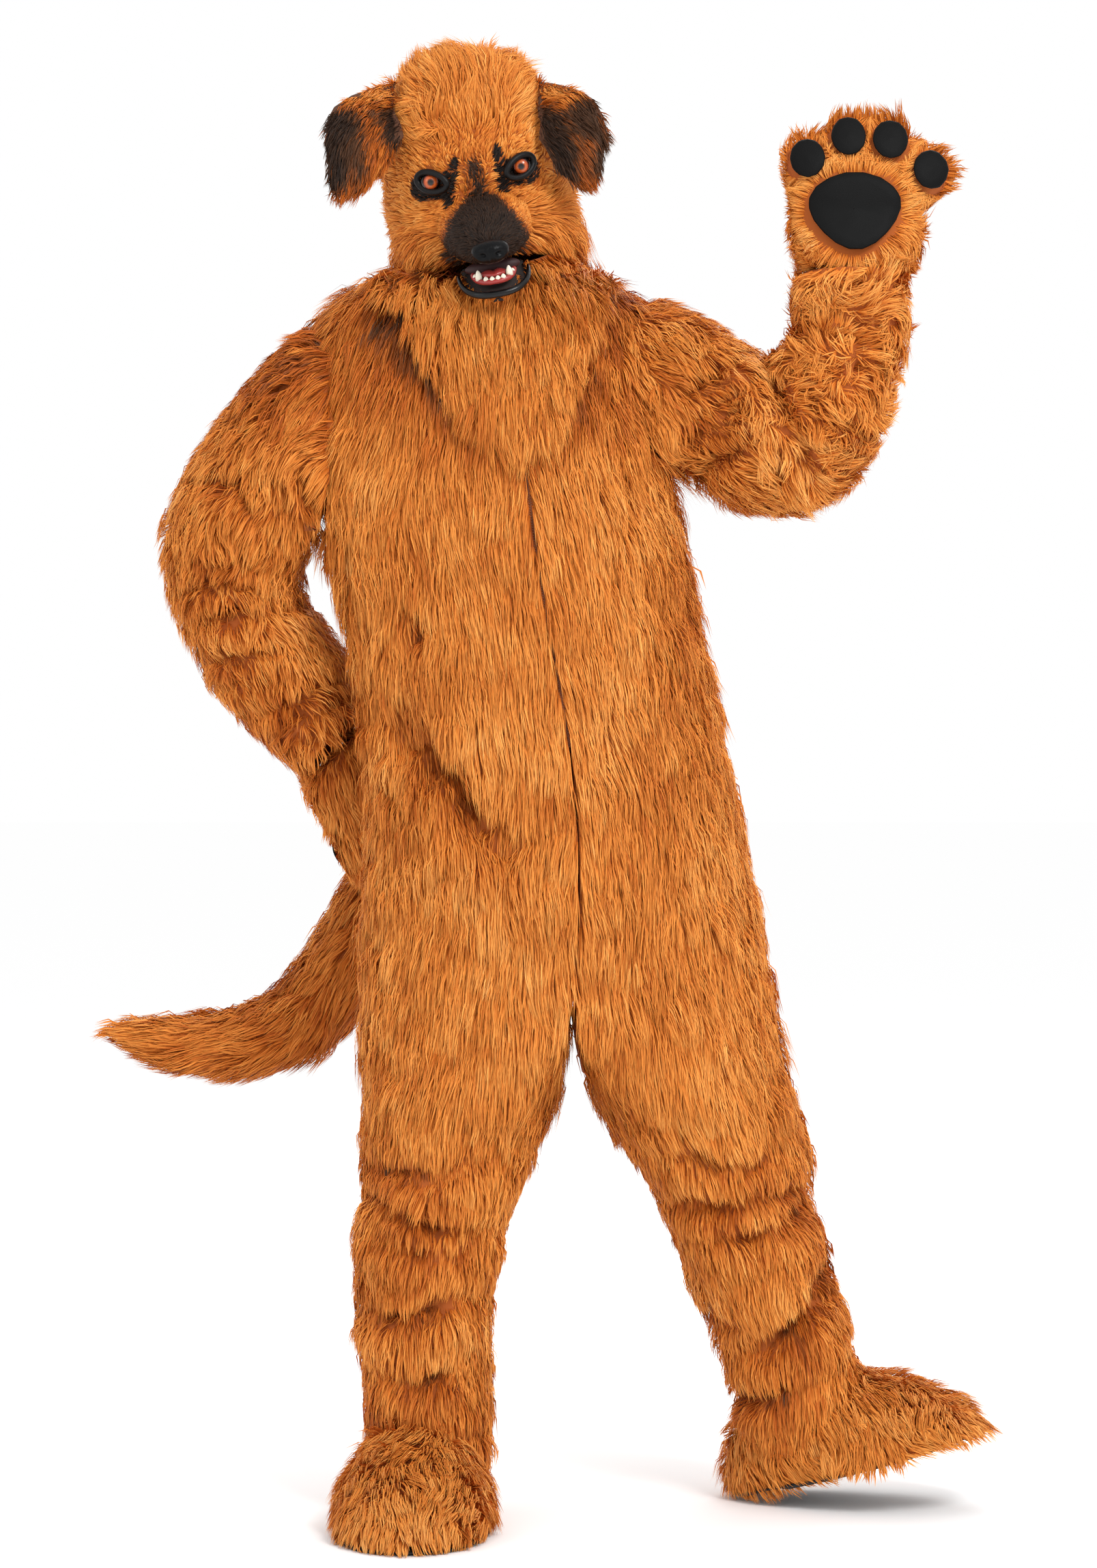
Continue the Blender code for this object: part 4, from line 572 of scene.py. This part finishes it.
def coat(row, seed, material):
    """One joined mesh of tapered blades for a furred piece, on its own cloth."""
    rng = np.random.default_rng(seed)
    node = row["node"]
    skin = outer_skin(node, row["lines"], row["inset"])
    roots, normals, combed = combing(row, *scatter(skin.data, row["share"], rng))
    keep, grown = fit(node, roots, normals, combed)
    roots, normals, combed, grown = roots[keep], normals[keep], combed[keep], grown[keep]
    number = len(roots)
    roots, normals, troughs = creased(node, roots, normals)
    wild = next((w for start, w in WILD.items() if node.startswith(start)), WILD_ELSEWHERE)
    combed = strayed(combed, roots, normals, wild, seed)
    tuft = tufts(roots, TUFT, rng)
    lock = tufts(roots, LOCK, rng)

    def solo(*shape):
        return rng.normal(size=(number, *shape))

    # how far each blade strays with its tuft and its lock, and how flat it lies
    in_tuft, in_lock = solo(3)[tuft], solo(3)[lock]
    stray = (RUFFLE_LEAST + RUFFLE_WILD * wild) * (in_tuft * STRAY_TUFT + in_lock * STRAY_LOCK)
    lean = row["lean"] + LEAN_BLADE * solo(1)
    lean = lean + LEAN_LOCK * solo()[lock][:, None]
    lean = np.clip(lean - LEAN_TROUGH * troughs[:, None], LEAST_LEAN, MOST_LEAN)
    out = np.sqrt(1 - lean**2)
    # the blade's lower and upper halves
    lower = unit(combed * lean + normals * out + STRAY_LOWER * solo(3) + stray * 0.5)
    upper = combed * (lean + UPPER_LEAN) + normals * out * UPPER_OUT + STRAY_UPPER * solo(3)
    upper = unit(upper + stray + DROOP)
    length = row["length"] * grown[:, None] * rng.uniform(*LENGTHS, (number, 1))
    length = length * (1 - TROUGH_CUT * troughs[:, None])
    length = np.maximum(length, SHORTEST_BLADE) * (1 + LENGTH_LOCK * solo()[lock][:, None])
    half = roots + lower * length * 0.5
    tips = half + upper * length * 0.5
    tips += (tips[tuft] - tips) * row["gather"] * rng.uniform(*GATHERS, (number, 1))
    tips += (tips[lock] - tips) * row["gather"] * GATHER_LOCK
    half += (half[tuft] - half) * row["gather"] * GATHER_HALF
    across = unit(np.cross(lower, normals) + TWIST * solo(3))
    wide = row["width"] * rng.uniform(*WIDTHS, (number, 1)) / 2
    wide *= 1 + SHORT_WIDER * np.clip(1 - grown, 0, 1)[:, None]
    foot = across * wide
    waist = across * (wide * WAIST)
    points = np.stack([roots - foot, roots + foot, half + waist, half - waist, tips], axis=1)
    points[:, :, 2] = np.maximum(points[:, :, 2], FLOOR_Z + ABOVE_FLOOR)
    uneven = TONE_BLADE * solo() + TONE_TUFT * solo()[tuft] + TONE_LOCK * solo()[lock]
    uneven += TONE_DRIFT * drift(roots, SHADE_SIZE, seed + 9)
    # painted shade: the pile is darker down in the creases' troughs
    painted_crease_shade = SLEEVE_CREASE_SHADE if "sleeve" in node else LEG_CREASE_SHADE
    tone = shaded(node, half, row["tone"] + uneven - painted_crease_shade * troughs, rng)
    mesh = blade_mesh(node + "_pile", points, np.clip(tone, DARKEST, PALEST))
    mesh.materials.append(material)
    return skin, linked(node + "_pile", mesh)


def shaded(node, points, tone, rng):
    """The tones with painted shade on the shoulders and by the bib's edge, the ears' rustier roots, and the
    marks.
    """
    x, y, z = points.T
    if node.startswith(("front", "back", "sleeve")):
        # painted shade: darker, rustier pile towards the shoulders under the head, more on the figure's right
        # side
        height = np.clip((z - SHOULDER_SHADE_FOOT) / SHOULDER_SHADE_SPAN, 0, 1)
        tone = tone - SHOULDER_SHADE * height * (0.75 + 0.25 * (x < 0.05)) * (x < SHOULDER_SHADE_OUTER)
    if node.startswith("front"):
        # painted shadow: the front's pile is darker near the bib's edge, where the bib overhangs it
        tree = tree_of([v.co for v in NODES["mask_bib"].data.vertices])
        upper = np.flatnonzero(z > BIB_SHADOW_FOOT)
        gap = np.array([tree.find(points[i])[2] for i in upper])
        tone[upper] -= BIB_SHADOW * (1 - smooth_step(gap, BIB_NEAR, BIB_FAR))
    if node.startswith("ear"):
        tone = tone + EAR_ROOT_TONE * np.clip((z - EAR_ROOT_FOOT) / EAR_ROOT_SPAN, 0, 1)
    for values in MARKS.get(node, ()):
        row = dict(zip(MARK_COLUMNS, values))
        run = np.array([row["x1"] - row["x0"], row["z1"] - row["z0"]])
        t = np.clip(((x - row["x0"]) * run[0] + (z - row["z0"]) * run[1]) / (run @ run), 0, 1)
        gap = np.hypot(x - row["x0"] - t * run[0], z - row["z0"] - t * run[1])
        size = row["start"] + (row["end"] - row["start"]) * t
        soft = PAINTED_EDGE if row["tone"] < PAINTED_TONE else PILE_EDGE
        blend = np.clip((size - gap) / soft + 0.5 + 0.3 * rng.normal(size=len(x)), 0, 1)
        blend = blend * (y < 0.02)
        tone = tone + (row["tone"] + 0.02 * rng.normal(size=len(x)) - tone) * blend
    return tone


def blade_mesh(name, points, tone):
    """Blades of five points each: a pair at the root, a pair half way and the tip."""
    number = len(points)
    mesh = bpy.data.meshes.new(name)
    mesh.vertices.add(number * 5)
    mesh.vertices.foreach_set("co", points.reshape(-1))
    corners = (np.array([0, 1, 2, 3, 3, 2, 4]) + 5 * np.arange(number)[:, None]).reshape(-1)
    mesh.loops.add(len(corners))
    mesh.loops.foreach_set("vertex_index", corners.astype(np.int32))
    mesh.polygons.add(number * 2)
    starts = (np.array([0, 4]) + 7 * np.arange(number)[:, None]).reshape(-1)
    mesh.polygons.foreach_set("loop_start", starts.astype(np.int32))
    mesh.update(calc_edges=True)
    mesh.shade_smooth()
    baked = mesh.uv_layers.new(name="OFBake")
    edge = np.array([-1, 1, 1, -1, -1, 1, 0]) * BLADE_EDGE
    up = np.array([0.02, 0.02, 0.5, 0.5, 0.5, 0.5, 0.98])
    uv = np.stack([tone[:, None] + edge[None, :], np.broadcast_to(up, (number, 7))], axis=2)
    baked.data.foreach_set("uv", uv.reshape(-1).astype(np.float32))
    return mesh


class Wire:
    """A value in a material that takes part in sums."""

    def __init__(self, tree, socket):
        self.tree, self.socket = tree, socket

    def made(self, operation, *values):
        node = self.tree.nodes.new("ShaderNodeMath")
        node.operation = operation
        for slot, value in zip(node.inputs, values):
            if isinstance(value, Wire):
                self.tree.links.new(value.socket, slot)
            else:
                slot.default_value = value
        return Wire(self.tree, node.outputs[0])

    def __add__(self, other):
        return self.made("ADD", self, other)

    __radd__ = __add__

    def __mul__(self, other):
        return self.made("MULTIPLY", self, other)

    __rmul__ = __mul__

    def __sub__(self, other):
        return self.made("SUBTRACT", self, other)

    def __rsub__(self, other):
        return self.made("SUBTRACT", other, self)

    def __pow__(self, other):
        return self.made("POWER", self, other)


class Finish:
    """A material being put together."""

    def __init__(self, name, **constants):
        self.material = bpy.data.materials.new(name)
        self.material.use_nodes = True
        self.tree = self.material.node_tree
        self.shader = self.tree.nodes["Principled BSDF"]
        for socket, value in constants.items():
            self.shader.inputs[socket.replace("_", " ")].default_value = value

    def add(self, kind, settings=(), numbered=(), **inputs):
        """A node of a kind, with the values or links of its sockets by number and by name."""
        node = self.tree.nodes.new("ShaderNode" + kind)
        for key, value in dict(settings).items():
            setattr(node, key, value)
        named = {key.replace("_", " "): value for key, value in inputs.items()}
        for key, value in {**dict(numbered), **named}.items():
            socket = node.inputs[key]
            if isinstance(value, Wire):
                self.tree.links.new(value.socket, socket)
            else:
                socket.default_value = value
        return node

    def wire(self, node, output=0):
        return Wire(self.tree, node.outputs[output])

    def ramp(self, value, stops):
        node = self.add("ValToRGB", Fac=value)
        elements = node.color_ramp.elements
        for index, (place, colour) in enumerate(stops):
            element = elements[index] if index < 2 else elements.new(place)
            element.position = place
            element.color = (*colour, 1)
        return self.wire(node)

    def feed(self, **inputs):
        for key, value in inputs.items():
            self.tree.links.new(value.socket, self.shader.inputs[key.replace("_", " ")])
        return self.material


def srgb(*colour):
    shares = [c / 255 for c in colour]
    return tuple(c / 12.92 if c < 0.0404 else ((c + 0.055) / 1.055) ** 2.4 for c in shares)


def to_head(points):
    return [TO_HEAD @ Vector(p) for p in points]


def placed(name, bm, material, swaps=(), smooth=True):
    """Keeps a bmesh as a finished piece at the origin."""
    mesh = bpy.data.meshes.new(name)
    bmesh.ops.recalc_face_normals(bm, faces=bm.faces)
    bm.to_mesh(mesh)
    bm.free()
    mesh.materials.append(material)
    if smooth:
        mesh.shade_smooth()
    piece = linked(name, mesh)
    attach(piece, "root")
    if swaps:
        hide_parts(*swaps)
    return piece


def bridged(bm, rings, closed=False):
    """Quads from ring to ring, with a cap at each end unless the run closes on itself."""
    for a, b in list(zip(rings, rings[1:])) + ([(rings[-1], rings[0])] if closed else []):
        for k, _ in enumerate(a):
            n = (k + 1) % len(a)
            bm.faces.new((a[k], a[n], b[n], b[k]))
    if not closed:
        bm.faces.new(rings[0][::-1])
        bm.faces.new(rings[-1])


def tube(bm, path, radius, segments, closed=False, reference=(0, 1, 0)):
    """A round tube along a path; radius may be a function of the share along it."""
    rings, count = [], len(path)
    reference = Vector(reference)
    for k, point in enumerate(path):
        before = path[(k - 1) % count] if closed or k else path[0]
        after = path[(k + 1) % count] if closed or k < count - 1 else path[-1]
        way = (after - before).normalized()
        side = way.cross(reference).normalized()
        other = way.cross(side)
        size = radius(k / (count - 1)) if callable(radius) else radius
        ring = []
        for j in range(segments):
            turn = j * 2 * math.pi / segments
            ring.append(bm.verts.new(point + (side * math.cos(turn) + other * math.sin(turn)) * size))
        rings.append(ring)
    bridged(bm, rings, closed)


def blob(bm, centre, sizes, shape=None, segments=48, rings=32):
    """A round body in the head's frame, each point moved by shape where one is given."""
    made = bmesh.ops.create_uvsphere(bm, u_segments=segments, v_segments=rings, radius=1.0)["verts"]
    for v in made:
        q = v.co.copy()
        if shape:
            q = shape(q)
        v.co = TO_HEAD @ Vector([c + a * s for c, a, s in zip(centre, q, sizes)])


EYE_X, EYE_Y, EYE_Z, EYE_RADIUS = 0.056, -0.100, 0.002, 0.0128
EYE_SPAN = math.radians(105)
LID_STEPS, LID_HALF_WIDTH, LID_HALF_HEIGHT, LID_SLANT, LID_RADIUS = 56, 0.0160, 0.0122, 0.24, 0.0040
LID_CORNER = 0.0030
FACE_DEPTH, FACE_HALF, LID_PROUD = 0.120, 0.117, 0.0040


def eye(side, sign, material):
    """An eyeball made of rings round its line of sight, which its colours follow."""
    bm = bmesh.new()
    layer = bm.loops.layers.uv.new("OFBake")
    turns, steps = 48, 28
    rings = []
    for r in range(steps + 1):
        tilt = EYE_SPAN * max(r, 0.05) / steps
        ring = []
        for k in range(turns):
            turn = k * 2 * math.pi / turns
            out = math.sin(tilt)
            offset = Vector((out * math.cos(turn), -math.cos(tilt), out * math.sin(turn)))
            centre = Vector((sign * EYE_X, EYE_Y, EYE_Z))
            ring.append(bm.verts.new(TO_HEAD @ (centre + offset * EYE_RADIUS)))
        rings.append(ring)
    cap = bm.faces.new(rings[0])
    for loop in cap.loops:
        loop[layer].uv = (0.5, 0.0)
    for r in range(steps):
        for k in range(turns):
            n = (k + 1) % turns
            near, far = rings[r], rings[r + 1]
            quad = bm.faces.new((near[k], near[n], far[n], far[k]))
            for loop, uv in zip(quad.loops, ((k, r), (k + 1, r), (k + 1, r + 1), (k, r + 1))):
                loop[layer].uv = (uv[0] / turns, uv[1] / steps)
    placed(f"eye_ball_{side}", bm, material, [f"eye_{side}"])


def eye_rim(side, sign, material):
    path = []
    for k in range(LID_STEPS):
        turn = k * 2 * math.pi / LID_STEPS
        out = LID_HALF_WIDTH * math.cos(turn) - LID_CORNER * max(0.0, -math.cos(turn)) ** 3
        x = sign * (EYE_X + out)
        y = -FACE_DEPTH * math.sqrt(1 - (x / FACE_HALF) ** 2) - LID_PROUD
        path.append((x, y, EYE_Z + LID_HALF_HEIGHT * math.sin(turn) + LID_SLANT * out))
    bm = bmesh.new()
    outwards = TO_HEAD.to_3x3() @ Vector((0, 1, 0))
    tube(bm, to_head(path), LID_RADIUS, 14, closed=True, reference=outwards)
    placed(f"eye_lid_{side}", bm, material, [f"eye_rim_{side}"])


def nose_shape(q):
    """Two nostrils, a groove between them and a flatter top."""
    for side in (-1, 1):
        nostril = Vector((side * 0.50, -0.84, -0.18))
        q = q * (1 - 0.34 * math.exp(-((q.normalized() - nostril.normalized()).length_squared) / 0.045))
    groove = math.exp(-((q.x / 0.09) ** 2))
    if q.z >= 0.15:
        groove *= math.exp(-(((q.z - 0.15) / 0.2) ** 2))
    q = q * (1 - 0.16 * groove * max(0.0, -q.y))
    q.x *= 1 + 0.14 * max(0.0, q.z)
    return q


def mouth_curve(half_width, corner, front, count):
    """A U through the mouth: its corners and its lowest place at the front, both as (y, z)."""
    points = []
    for k in range(count):
        turn = -1 + 2 * k / (count - 1)
        share = 1 - abs(turn) ** 2.4
        y, z = (corner[i] + (front[i] - corner[i]) * share for i in (0, 1))
        points.append((half_width * math.sin(turn * math.pi / 2), y, z))
    return points


LIP_CORNER, LIP_FRONT = (-0.165, -0.111), (-0.212, -0.135)
LIP_HALF_WIDTH, LIP_RADIUS = 0.043, 0.0045
GUM_HALF_WIDTH, GUM_RADIUS, GUM_STEPS = 0.025, 0.0036, 101
GUM_CORNER, GUM_FRONT = (-0.170, -0.110), (-0.199, -0.121)
TEETH = (
    # share along the gum from side to side, radius, height
    (0.13, 0.0028, 0.0050), (0.23, 0.0042, 0.0125), (0.36, 0.0034, 0.0062), (0.455, 0.0034, 0.0058),
    (0.545, 0.0034, 0.0058), (0.64, 0.0034, 0.0062), (0.77, 0.0042, 0.0125), (0.87, 0.0028, 0.0050),
)


TOOTH_PROFILE = ((0.0, 1.0), (0.35, 1.0), (0.65, 0.78), (0.88, 0.45), (1.0, 0.12))
TOOTH_SIDES = 14


def tooth(bm, foot, radius, height):
    """A blunt peg that narrows to its tip."""
    rings = []
    for up, wide in TOOTH_PROFILE:
        ring = []
        for k in range(TOOTH_SIDES):
            turn = k * 2 * math.pi / TOOTH_SIDES
            at = Vector((
                foot[0] + math.cos(turn) * radius * wide,
                foot[1] + math.sin(turn) * radius * wide * 0.8 - 0.0015 * up,
                foot[2] + height * up,
            ))
            ring.append(bm.verts.new(TO_HEAD @ at))
        rings.append(ring)
    bridged(bm, rings)


def mouth():
    lips = bmesh.new()
    path = to_head(mouth_curve(LIP_HALF_WIDTH, LIP_CORNER, LIP_FRONT, 61))

    def lip_radius(share):
        return LIP_RADIUS * (0.3 + 0.7 * math.sin(math.pi * share) ** 0.5)

    tube(lips, path, lip_radius, 14, reference=(0, 0, 1))
    placed("lip_cord", lips, GLOSS, ["lips"])
    gum = bmesh.new()
    gum_path = mouth_curve(GUM_HALF_WIDTH, GUM_CORNER, GUM_FRONT, GUM_STEPS)
    tube(gum, to_head(gum_path)[4:-4], GUM_RADIUS, 10, reference=(0, 0, 1))
    placed("lower_gum", gum, RED)
    pegs = bmesh.new()
    for share, radius, height in TEETH:
        foot = gum_path[round(share * (GUM_STEPS - 1))]
        tooth(pegs, (foot[0], foot[1], foot[2] + 0.001), radius, height)
    placed("lower_teeth", pegs, IVORY, ["teeth_lower"])

    def grooved(q):
        q = q.copy()
        if q.z > 0:
            q.z *= 1 - 0.45 * math.exp(-((q.x / 0.2) ** 2))
        return q

    tongue = bmesh.new()
    blob(tongue, (0, -0.184, -0.113), (0.017, 0.015, 0.006), grooved, 28, 18)
    placed("tongue_cloth", tongue, RED, ["tongue"])
    lining = bmesh.new()
    blob(lining, (0, -0.159, -0.107), (0.034, 0.009, 0.010), None, 24, 16)
    placed("mouth_back", lining, DARK_RED, ["mouth_lining"])


def nose():
    bm = bmesh.new()
    blob(bm, (0, -0.232, -0.082), (0.0225, 0.017, 0.0145), nose_shape, 48, 32)
    placed("nose_leather", bm, NOSE_SKIN, ["nose"])


ZIP_DEPTH = 0.0075  # how far the zip lies under the ends of the pile
TAPE_SECTION = ((-0.006, 0.0020), (-0.002, 0.0006), (0.002, 0.0006), (0.006, 0.0020))
TOOTH_STEP, TOOTH_OFF, TOOTH_SIZES = 0.0016, 0.0009, (0.0030, 0.0016, 0.0009)


def zip_path():
    """The line down the front of the zip, from its node."""
    best = {}
    for v in NODES["zip_front"].data.vertices:
        level = round(v.co.z, 3)
        best.setdefault(level, []).append(v.co.copy())
    line = []
    for level in sorted(best, reverse=True):
        front = min(p.y for p in best[level])
        near = [p for p in best[level] if p.y < front + 0.0015]
        line.append(Vector((sum(p.x for p in near) / len(near), front + ZIP_DEPTH, level)))
    return line


def spaced(line, step):
    """Points at an even step along a line, each with its way."""
    found, carried = [], 0.0
    for a, b in zip(line, line[1:]):
        run = b - a
        while carried < run.length:
            found.append((a + run * (carried / run.length), run.normalized()))
            carried += step
        carried -= run.length
    return found


def block(bm, centre, x_axis, y_axis, z_axis, sizes):
    made = bmesh.ops.create_cube(bm, size=1.0)["verts"]
    for v in made:
        x, y, z = (share * size for share, size in zip(v.co, sizes))
        v.co = centre + x_axis * x + y_axis * y + z_axis * z


def zip_fastener():
    """Zip tape and its two rows of interlocking teeth."""
    line = zip_path()
    tape = bmesh.new()
    rows = []
    for at, _ in spaced(line, 0.010):
        rows.append([tape.verts.new(at + Vector((x, y, 0))) for x, y in TAPE_SECTION])
    for a, b in zip(rows, rows[1:]):
        for j in range(3):
            tape.faces.new((a[j], a[j + 1], b[j + 1], b[j]))
    placed("zip_tape_cloth", tape, ZIP_CLOTH, ["zip_front"])
    pegs = bmesh.new()
    across = Vector((1, 0, 0))
    for k, (at, way) in enumerate(spaced(line, TOOTH_STEP)):
        side = 1 if k % 2 else -1
        out = across.cross(way).normalized()
        out = out if out.y < 0 else -out
        block(pegs, at + across * side * TOOTH_OFF + out * 0.0006, across, out, way, TOOTH_SIZES)
    placed("zip_teeth", pegs, ZIP_METAL, smooth=False)


def finer(name, cuts):
    """A node's mesh, merged, cut finer and smoothed."""
    bm = bmesh.new()
    bm.from_mesh(NODES[name].data)
    bmesh.ops.remove_doubles(bm, verts=bm.verts, dist=MERGE)
    for _ in range(cuts):
        bmesh.ops.subdivide_edges(bm, edges=bm.edges, cuts=1, use_grid_fill=True)
        bmesh.ops.triangulate(bm, faces=bm.faces)
        smoothed(bm, bm.verts)
    return bm


def pad_cushion(name):
    piece = placed(name + "_felt", finer(name, 1), PAD_CLOTH, [name])


def sole(name):
    piece = placed(name + "_vinyl", finer(name, 1), SOLE_CLOTH, [name])


# The pile's colour at its tips and at its roots, by tone. The darker roots are partly the pile's own rustier
# root colour and partly painted shade deep in the pile.
TIP_TONES = (
    (0.0, srgb(22, 18, 16)), (0.12, srgb(46, 34, 27)), (0.25, srgb(92, 60, 38)), (0.42, srgb(192, 98, 28)),
    (0.60, srgb(226, 148, 66)), (0.74, srgb(242, 178, 98)), (1.0, srgb(246, 206, 150)),
)
ROOT_TONES = (
    (0.0, srgb(10, 8, 7)), (0.12, srgb(24, 16, 12)), (0.25, srgb(54, 30, 17)), (0.42, srgb(152, 66, 14)),
    (0.60, srgb(208, 106, 26)), (0.74, srgb(224, 132, 44)), (1.0, srgb(206, 150, 90)),
)


MIX_FACTOR, MIX_A, MIX_B = 0, 6, 7  # the sockets of a colour mix


def pile_material():
    """Long pile: its colour depends only on the blade's tone and on how far up the blade it is."""
    finish = Finish("pile", Roughness=0.6, Specular_IOR_Level=0.15)
    split = finish.add("SeparateXYZ", Vector=finish.wire(finish.add("UVMap", {"uv_map": "OFBake"})))
    tone, up = finish.wire(split, 0), finish.wire(split, 1)
    ends = {MIX_FACTOR: up**0.8, MIX_A: finish.ramp(tone, ROOT_TONES), MIX_B: finish.ramp(tone, TIP_TONES)}
    mix = finish.add("Mix", {"data_type": "RGBA"}, ends)
    return finish.feed(Base_Color=finish.wire(mix, 2))


def plain(name, colour, **constants):
    return Finish(name, Base_Color=(*colour, 1), **constants).material


def iris_material():
    """A glass eye: pupil, orange iris and dark surround, by how far off the line of sight."""
    finish = Finish("iris_glass", Roughness=0.25, Specular_IOR_Level=0.3, Coat_Weight=0.4, Coat_Roughness=0.03)
    split = finish.add("SeparateXYZ", Vector=finish.wire(finish.add("UVMap", {"uv_map": "OFBake"})))
    around, out = finish.wire(split, 0), finish.wire(split, 1)
    joined = finish.wire(finish.add("CombineXYZ", X=around * 60.0, Y=out * 6.0))
    streak = finish.add("TexNoise", Scale=1.0, Detail=3.0, Vector=joined)
    place = out + (finish.wire(streak, 0) - 0.5) * 0.03
    colour = finish.ramp(place, (
        (0.0, srgb(6, 5, 5)), (0.12, srgb(8, 6, 6)), (0.15, srgb(80, 34, 14)), (0.24, srgb(188, 88, 34)),
        (0.35, srgb(160, 62, 22)), (0.42, srgb(60, 22, 10)), (0.49, srgb(8, 6, 5)),
    ))
    return finish.feed(Base_Color=colour)


def bumpy(name, colour, scale, height, detail=2.0, **constants):
    """A plain finish with a fine procedural grain."""
    finish = Finish(name, Base_Color=(*colour, 1), **constants)
    where = finish.wire(finish.add("TexCoord"), 3)
    grain = finish.add("TexNoise", Scale=scale, Detail=detail, Vector=where)
    bump = finish.add("Bump", Height=finish.wire(grain, 0), Distance=height, Strength=1.0)
    return finish.feed(Normal=finish.wire(bump))


PILE = pile_material()
CLOTH = plain("backing_cloth", srgb(160, 78, 18), Roughness=0.9)
DARK_CLOTH = plain("dark_backing", srgb(32, 22, 17), Roughness=0.9)
GLOSS = bumpy("lip_rubber", srgb(9, 8, 8), 220, 0.0003, Roughness=0.3, Specular_IOR_Level=0.3)
LID = bumpy("lid_rubber", srgb(9, 7, 7), 260, 0.0003, Roughness=0.45, Specular_IOR_Level=0.2)
NOSE_SKIN = bumpy("nose_leather", srgb(7, 7, 8), 420, 0.0004, 1.0, Roughness=0.36, Specular_IOR_Level=0.12)
RED = bumpy("tongue_rubber", srgb(158, 52, 48), 300, 0.0004, Roughness=0.3)
DARK_RED = plain("mouth_lining", srgb(48, 12, 12), Roughness=0.6)
IVORY = plain("ivory_resin", srgb(236, 226, 206), Roughness=0.25)
ZIP_CLOTH = plain("zip_tape_cloth", srgb(158, 82, 28), Roughness=0.85)
ZIP_METAL = plain("zip_teeth_resin", srgb(128, 66, 26), Roughness=0.4)
PAD_CLOTH = bumpy("pad_felt", srgb(7, 7, 7), 900, 0.0003, Roughness=0.6, Specular_IOR_Level=0.12)
SOLE_CLOTH = bumpy("sole_vinyl", srgb(22, 21, 21), 500, 0.0004, Roughness=0.7)
IRIS = iris_material()

# The backing cloth of the furred pieces whose backing is not the usual one
EAR_CLOTH = plain("ear_backing", srgb(86, 52, 32), Roughness=0.9)
CLOTHS = {
    "ear_left": EAR_CLOTH, "ear_right": EAR_CLOTH, "mask_muzzle": DARK_CLOTH, "mask_jaw": DARK_CLOTH,
}
for number, values in enumerate(COATS):
    row = dict(zip(COAT_COLUMNS, values))
    skin, fur = coat(row, SEED + SEED_STEP * number, PILE)
    skin.data.materials.append(CLOTHS.get(row["node"], CLOTH))
    at = np.array([v.co for v in skin.data.vertices])
    facing = np.array([v.normal for v in skin.data.vertices])
    pushed, _, _ = creased(row["node"], at, facing)
    skin.data.vertices.foreach_set("co", pushed.reshape(-1))
    thick = skin.modifiers.new("thickness", "SOLIDIFY")
    thick.thickness = BACKING
    thick.offset = -1
    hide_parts(row["node"])
    for piece in (skin, fur):
        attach(piece, "root")

for side, sign in (("left", 1), ("right", -1)):
    eye(side, sign, IRIS)
    eye_rim(side, sign, LID)
    for name in TOES:
        pad_cushion(f"pad_{side}_{name}")
    sole(f"shoe_{side}_sole")
nose()
mouth()
zip_fastener()

floor_mesh = bpy.data.meshes.new("studio_floor")
FLOOR_CORNERS = [(x * FLOOR_HALF, y * FLOOR_HALF, FLOOR_Z) for x, y in ((-1, -1), (1, -1), (1, 1), (-1, 1))]
floor_mesh.from_pydata(FLOOR_CORNERS, [], [(0, 1, 2, 3)])
PAPER = plain("floor_paper", srgb(254, 254, 254), Roughness=1.0, Specular_IOR_Level=0.0)
floor_mesh.materials.append(PAPER)
linked("studio_floor", floor_mesh)

CAMERA_LENS, CAMERA_PLACE = 92.4, (0.0743, -5.0, -0.5865)
camera_data = bpy.data.cameras.new("camera")
camera_data.lens = CAMERA_LENS
camera = linked("camera", camera_data)
camera.location = CAMERA_PLACE
camera.rotation_euler = (math.radians(90), 0, 0)
bpy.context.scene.camera = camera

bpy.context.scene.view_settings.view_transform = "Standard"
LIGHTS = (
    # name, place, size, watts
    ("key", (1.9, -3.6, 2.2), 1.3, 119),
    ("fill", (-2.8, -3.2, 0.6), 2.0, 22),
    ("rim", (0.8, 2.6, 2.6), 2.0, 40),
)
for name, place, size, watts in LIGHTS:
    data = bpy.data.lights.new(name, "AREA")
    data.energy, data.size = watts, size
    lamp = linked(name, data)
    lamp.location = place
    lamp.rotation_euler = (Vector((0, 0, -0.5)) - Vector(place)).to_track_quat("-Z", "Y").to_euler()
world = bpy.data.worlds.new("studio")
bpy.context.scene.world = world
world.use_nodes = True
world.node_tree.nodes["Background"].inputs["Color"].default_value = (1, 1, 1, 1)
world.node_tree.nodes["Background"].inputs["Strength"].default_value = 1.0
